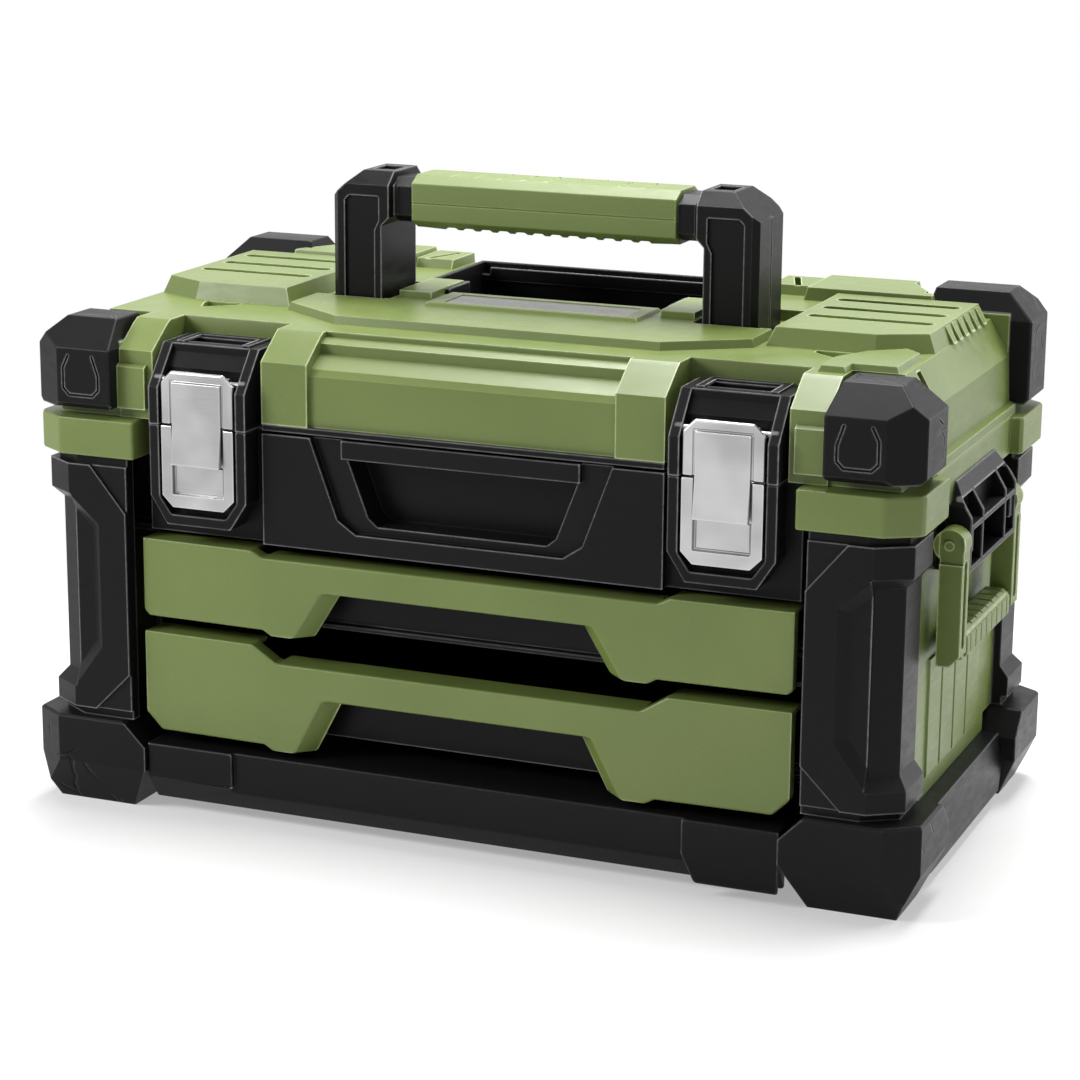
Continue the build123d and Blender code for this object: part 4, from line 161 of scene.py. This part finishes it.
def brushed(name, base, dark, rough, depth):
    """Satin metal with fine lines along X, cloudy darker patches as painted reflection and paler edges as
    painted highlight.
    """
    g = Graph(name)
    lines = g.noise(1.0, 3.0, g.scaled(BRUSH_SCALE), 0.5)
    # painted reflection: cloudy darker patches stand in for uneven reflections on the satin metal
    cloud = g.noise(22.0, 2.0)
    tone = g.math("ADD", g.ramp(cloud, 0.0, 0.85, 0.36, 0.64), g.ramp(lines, 0.0, 0.15, 0.35, 0.7))
    colour = g.mix(tone, dark, base)
    # painted highlight: outward edges get a paler metal colour
    edge = g.math("MULTIPLY", g.edge(EDGE_REACH), 0.8)
    colour = g.mix(edge, colour, tuple(min(1.0, 1.12 * c) for c in base))
    g.plug("Base Color", colour)
    spread = g.math("ADD", g.ramp(lines, -0.02, 0.03, 0.3, 0.7), g.ramp(cloud, -0.03, 0.03, 0.3, 0.7))
    g.plug("Roughness", g.math("ADD", spread, rough))
    g.plug("Normal", g.bump(lines, depth, 0.05 * MM))
    g.shader.inputs["Metallic"].default_value = 1.0
    g.shader.inputs["Anisotropic"].default_value = 0.35
    return g.material


BLACK_TONES = ((0.0065, 0.0066, 0.0070), (0.011, 0.011, 0.012), (0.0052, 0.0053, 0.0057))
# the pale edge colour of each plastic is a painted highlight along outward edges, with rubbed wear
GREEN = plastic(
    "green_plastic", (0.138, 0.182, 0.046), (0.176, 0.226, 0.070), (0.116, 0.158, 0.038),
    rough=0.36, grain=0.20, highlight_and_wear=(0.46, 0.54, 0.28), shine=0.40)
GRIP = plastic(
    "grip_plastic", (0.150, 0.200, 0.055), (0.190, 0.248, 0.082), (0.130, 0.174, 0.046),
    rough=0.44, grain=0.30, highlight_and_wear=(0.44, 0.52, 0.27), shine=0.40)
BLACK = plastic(
    "black_plastic", *BLACK_TONES, rough=0.34, grain=0.26, highlight_and_wear=(0.24, 0.24, 0.245), shine=0.12)
GUARD = plastic(
    "guard_plastic", *BLACK_TONES, rough=0.36, grain=0.40, highlight_and_wear=(0.16, 0.16, 0.165), shine=0.12, scored=True)
INSET = plastic(
    "smoked_panel", (0.040, 0.046, 0.030), (0.050, 0.056, 0.038), (0.034, 0.040, 0.026),
    rough=0.22, grain=0.06, highlight_and_wear=(0.10, 0.11, 0.08))
# the second tone of each metal fills the cloudy patches: painted reflection
LATCH = brushed("latch_metal", (0.62, 0.62, 0.62), (0.42, 0.42, 0.42), rough=0.32, depth=0.01)
STEEL = brushed("pin_steel", (0.46, 0.46, 0.47), (0.36, 0.36, 0.37), rough=0.30, depth=0.18)

SLOT_MATERIAL = {
    "green_shell": GREEN, "green_grip": GRIP, "black_shell": BLACK, "latch_metal": LATCH, "pin_steel": STEEL,
}
SLOT_OF = {part["node"]: part["material_slot"] for part in frame["record"]["subparts"]}

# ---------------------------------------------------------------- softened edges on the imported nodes
EDGE_MM = {
    "lid_shell": 1.1, "case_collar": 1.8, "drawer_upper_front": 1.6, "drawer_lower_front": 1.6,
    "handle_post": 1.2, "handle_grip": 1.4, "foot": 1.9, "pillar": 1.5, "lid_cap": 0.5, "latch_lever": 0.6,
    "latch_keeper": 0.7, "base_tray": 1.4,
}


# nodes without fine relief, whose bevel needs no clamp
OPEN_SHAPES = ("drawer_upper_front", "drawer_lower_front", "base_tray", "case_collar")
OTHER_EDGE_MM = 0.7
WELD_MM = 0.01
SHARP_ANGLE = math.radians(18)


def soften(obj, width):
    """Weld the imported faces, round the edges and even out the shading."""
    weld = obj.modifiers.new("weld", "WELD")
    weld.merge_threshold = WELD_MM * MM
    bevel = obj.modifiers.new("bevel", "BEVEL")
    bevel.width = width * MM
    bevel.segments = 2
    bevel.limit_method = "ANGLE"
    bevel.angle_limit = SHARP_ANGLE
    bevel.use_clamp_overlap = not obj.name.startswith(OPEN_SHAPES)
    bevel.miter_outer = "MITER_ARC"
    even = obj.modifiers.new("even", "WEIGHTED_NORMAL")
    even.weight = 80
    even.keep_sharp = False


for node_name, node in NODES.items():
    material = SLOT_MATERIAL[SLOT_OF[node_name]]
    if node_name == "lid_plate_inset":
        material = INSET
    elif node_name.startswith(("lid_cap", "foot")):
        material = GUARD
    node.data.materials.clear()
    node.data.materials.append(material)
    width = next((w for start, w in EDGE_MM.items() if node_name.startswith(start)), OTHER_EDGE_MM)
    soften(node, width)


# ---------------------------------------------------------------- floor, light, camera
FLOOR_HALF = 12.0
WORLD_FILL = 0.22
CAMERA_AZIMUTH = 22.244         # degrees
CAMERA_ELEVATION = 14.389
CAMERA_ROLL = 0.449
CAMERA_PLACE = (0.68886, -1.69622, 0.63112)
LENS_MM = 100.07
SENSOR_MM = 36.0
SHADOW_LIFT = 0.35              # share of plain white even next to the box
SHADOW_REACH = (0.30, 0.62)     # the shaded part of the floor fades to plain white between these radii


def ray_mask(tree):
    """1 for rays that should see the white background: camera, glossy and transmission."""
    seen = tree.nodes.new("ShaderNodeLightPath")
    total = seen.outputs["Is Camera Ray"]
    for name in ("Is Glossy Ray", "Is Transmission Ray"):
        either = tree.nodes.new("ShaderNodeMath")
        either.operation = "MAXIMUM"
        tree.links.new(total, either.inputs[0])
        tree.links.new(seen.outputs[name], either.inputs[1])
        total = either.outputs[0]
    return total


def make_floor():
    """Plain pale floor: it takes the box's shadow near the box and turns to white further out."""
    mesh = bpy.data.meshes.new("floor")
    s = FLOOR_HALF
    mesh.from_pydata([(-s, -s, 0), (s, -s, 0), (s, s, 0), (-s, s, 0)], [], [(0, 1, 2, 3)])
    floor = bpy.data.objects.new("floor", mesh)
    bpy.context.collection.objects.link(floor)
    g = Graph("floor_paper")
    tone = g.ramp(g.noise(3.0), 0.0, 1.0, 0.4, 0.6)
    g.plug("Base Color", g.mix(tone, (0.90, 0.90, 0.90), (0.92, 0.92, 0.92)))
    g.plug("Normal", g.bump(g.noise(900.0), 0.05, 0.1 * MM))
    g.shader.inputs["Roughness"].default_value = 0.9
    length = g.add("ShaderNodeVectorMath", operation="LENGTH")
    g.link(g.coords, length.inputs[0])
    far = g.ramp(length.outputs["Value"], SHADOW_LIFT, 1.0, *SHADOW_REACH)
    white = g.add("ShaderNodeEmission")
    white.inputs["Strength"].default_value = 1.0
    mix = g.add("ShaderNodeMixShader")
    g.link(g.math("MULTIPLY", far, ray_mask(g.tree)), mix.inputs[0])
    g.link(g.shader.outputs[0], mix.inputs[1])
    g.link(white.outputs[0], mix.inputs[2])
    g.link(mix.outputs[0], g.tree.nodes["Material Output"].inputs["Surface"])
    mesh.materials.append(g.material)


def area(name, place, aim, size, energy):
    """Square soft lamp at a place, turned to a point."""
    data = bpy.data.lights.new(name, "AREA")
    data.shape = "RECTANGLE"
    data.size = size
    data.size_y = size
    data.energy = energy
    light = bpy.data.objects.new(name, data)
    bpy.context.collection.objects.link(light)
    light.location = place
    light.rotation_mode = "QUATERNION"
    light.rotation_quaternion = (Vector(aim) - Vector(place)).to_track_quat("-Z", "Y")


def make_world():
    """Even grey fill for the object, white where the background shows."""
    world = bpy.data.worlds.new("studio")
    bpy.context.scene.world = world
    world.use_nodes = True
    tree = world.node_tree
    tree.nodes.clear()
    fill = tree.nodes.new("ShaderNodeBackground")
    fill.inputs["Color"].default_value = (1, 1, 1, 1)
    fill.inputs["Strength"].default_value = WORLD_FILL
    white = tree.nodes.new("ShaderNodeBackground")
    white.inputs["Color"].default_value = (1, 1, 1, 1)
    white.inputs["Strength"].default_value = 1.0
    mix = tree.nodes.new("ShaderNodeMixShader")
    tree.links.new(ray_mask(tree), mix.inputs[0])
    tree.links.new(fill.outputs[0], mix.inputs[1])
    tree.links.new(white.outputs[0], mix.inputs[2])
    out = tree.nodes.new("ShaderNodeOutputWorld")
    tree.links.new(mix.outputs[0], out.inputs["Surface"])


def make_camera():
    """Camera at the photograph's angle."""
    azimuth = math.radians(CAMERA_AZIMUTH)
    elevation = math.radians(CAMERA_ELEVATION)
    roll = math.radians(CAMERA_ROLL)
    right = Vector((math.cos(azimuth), math.sin(azimuth), 0))
    back = Vector((math.sin(azimuth) * math.cos(elevation), -math.cos(azimuth) * math.cos(elevation),
                   math.sin(elevation)))
    up = back.cross(right)
    turned_right = math.cos(roll) * right + math.sin(roll) * up
    turned_up = math.cos(roll) * up - math.sin(roll) * right
    data = bpy.data.cameras.new("camera")
    data.sensor_width = SENSOR_MM
    data.lens = LENS_MM
    camera = bpy.data.objects.new("camera", data)
    bpy.context.collection.objects.link(camera)
    rotation = Matrix((turned_right, turned_up, back)).transposed().to_4x4()
    camera.matrix_world = Matrix.Translation(CAMERA_PLACE) @ rotation
    bpy.context.scene.camera = camera


# name, place, aim, size, watts
LAMPS = (
    ("key", (-1.05, -0.95, 0.85), (-0.20, 0.0, 0.15), 0.5, 15.0),
    ("top", (0.0, 0.45, 1.7), (0.0, 0.0, 0.2), 1.2, 58.0),
    ("side", (1.35, 1.05, 0.7), (0.2, 0.0, 0.15), 0.8, 14.0),
)
make_floor()
make_world()
for lamp in LAMPS:
    area(*lamp)
make_camera()
bpy.context.scene.view_settings.view_transform = "Standard"
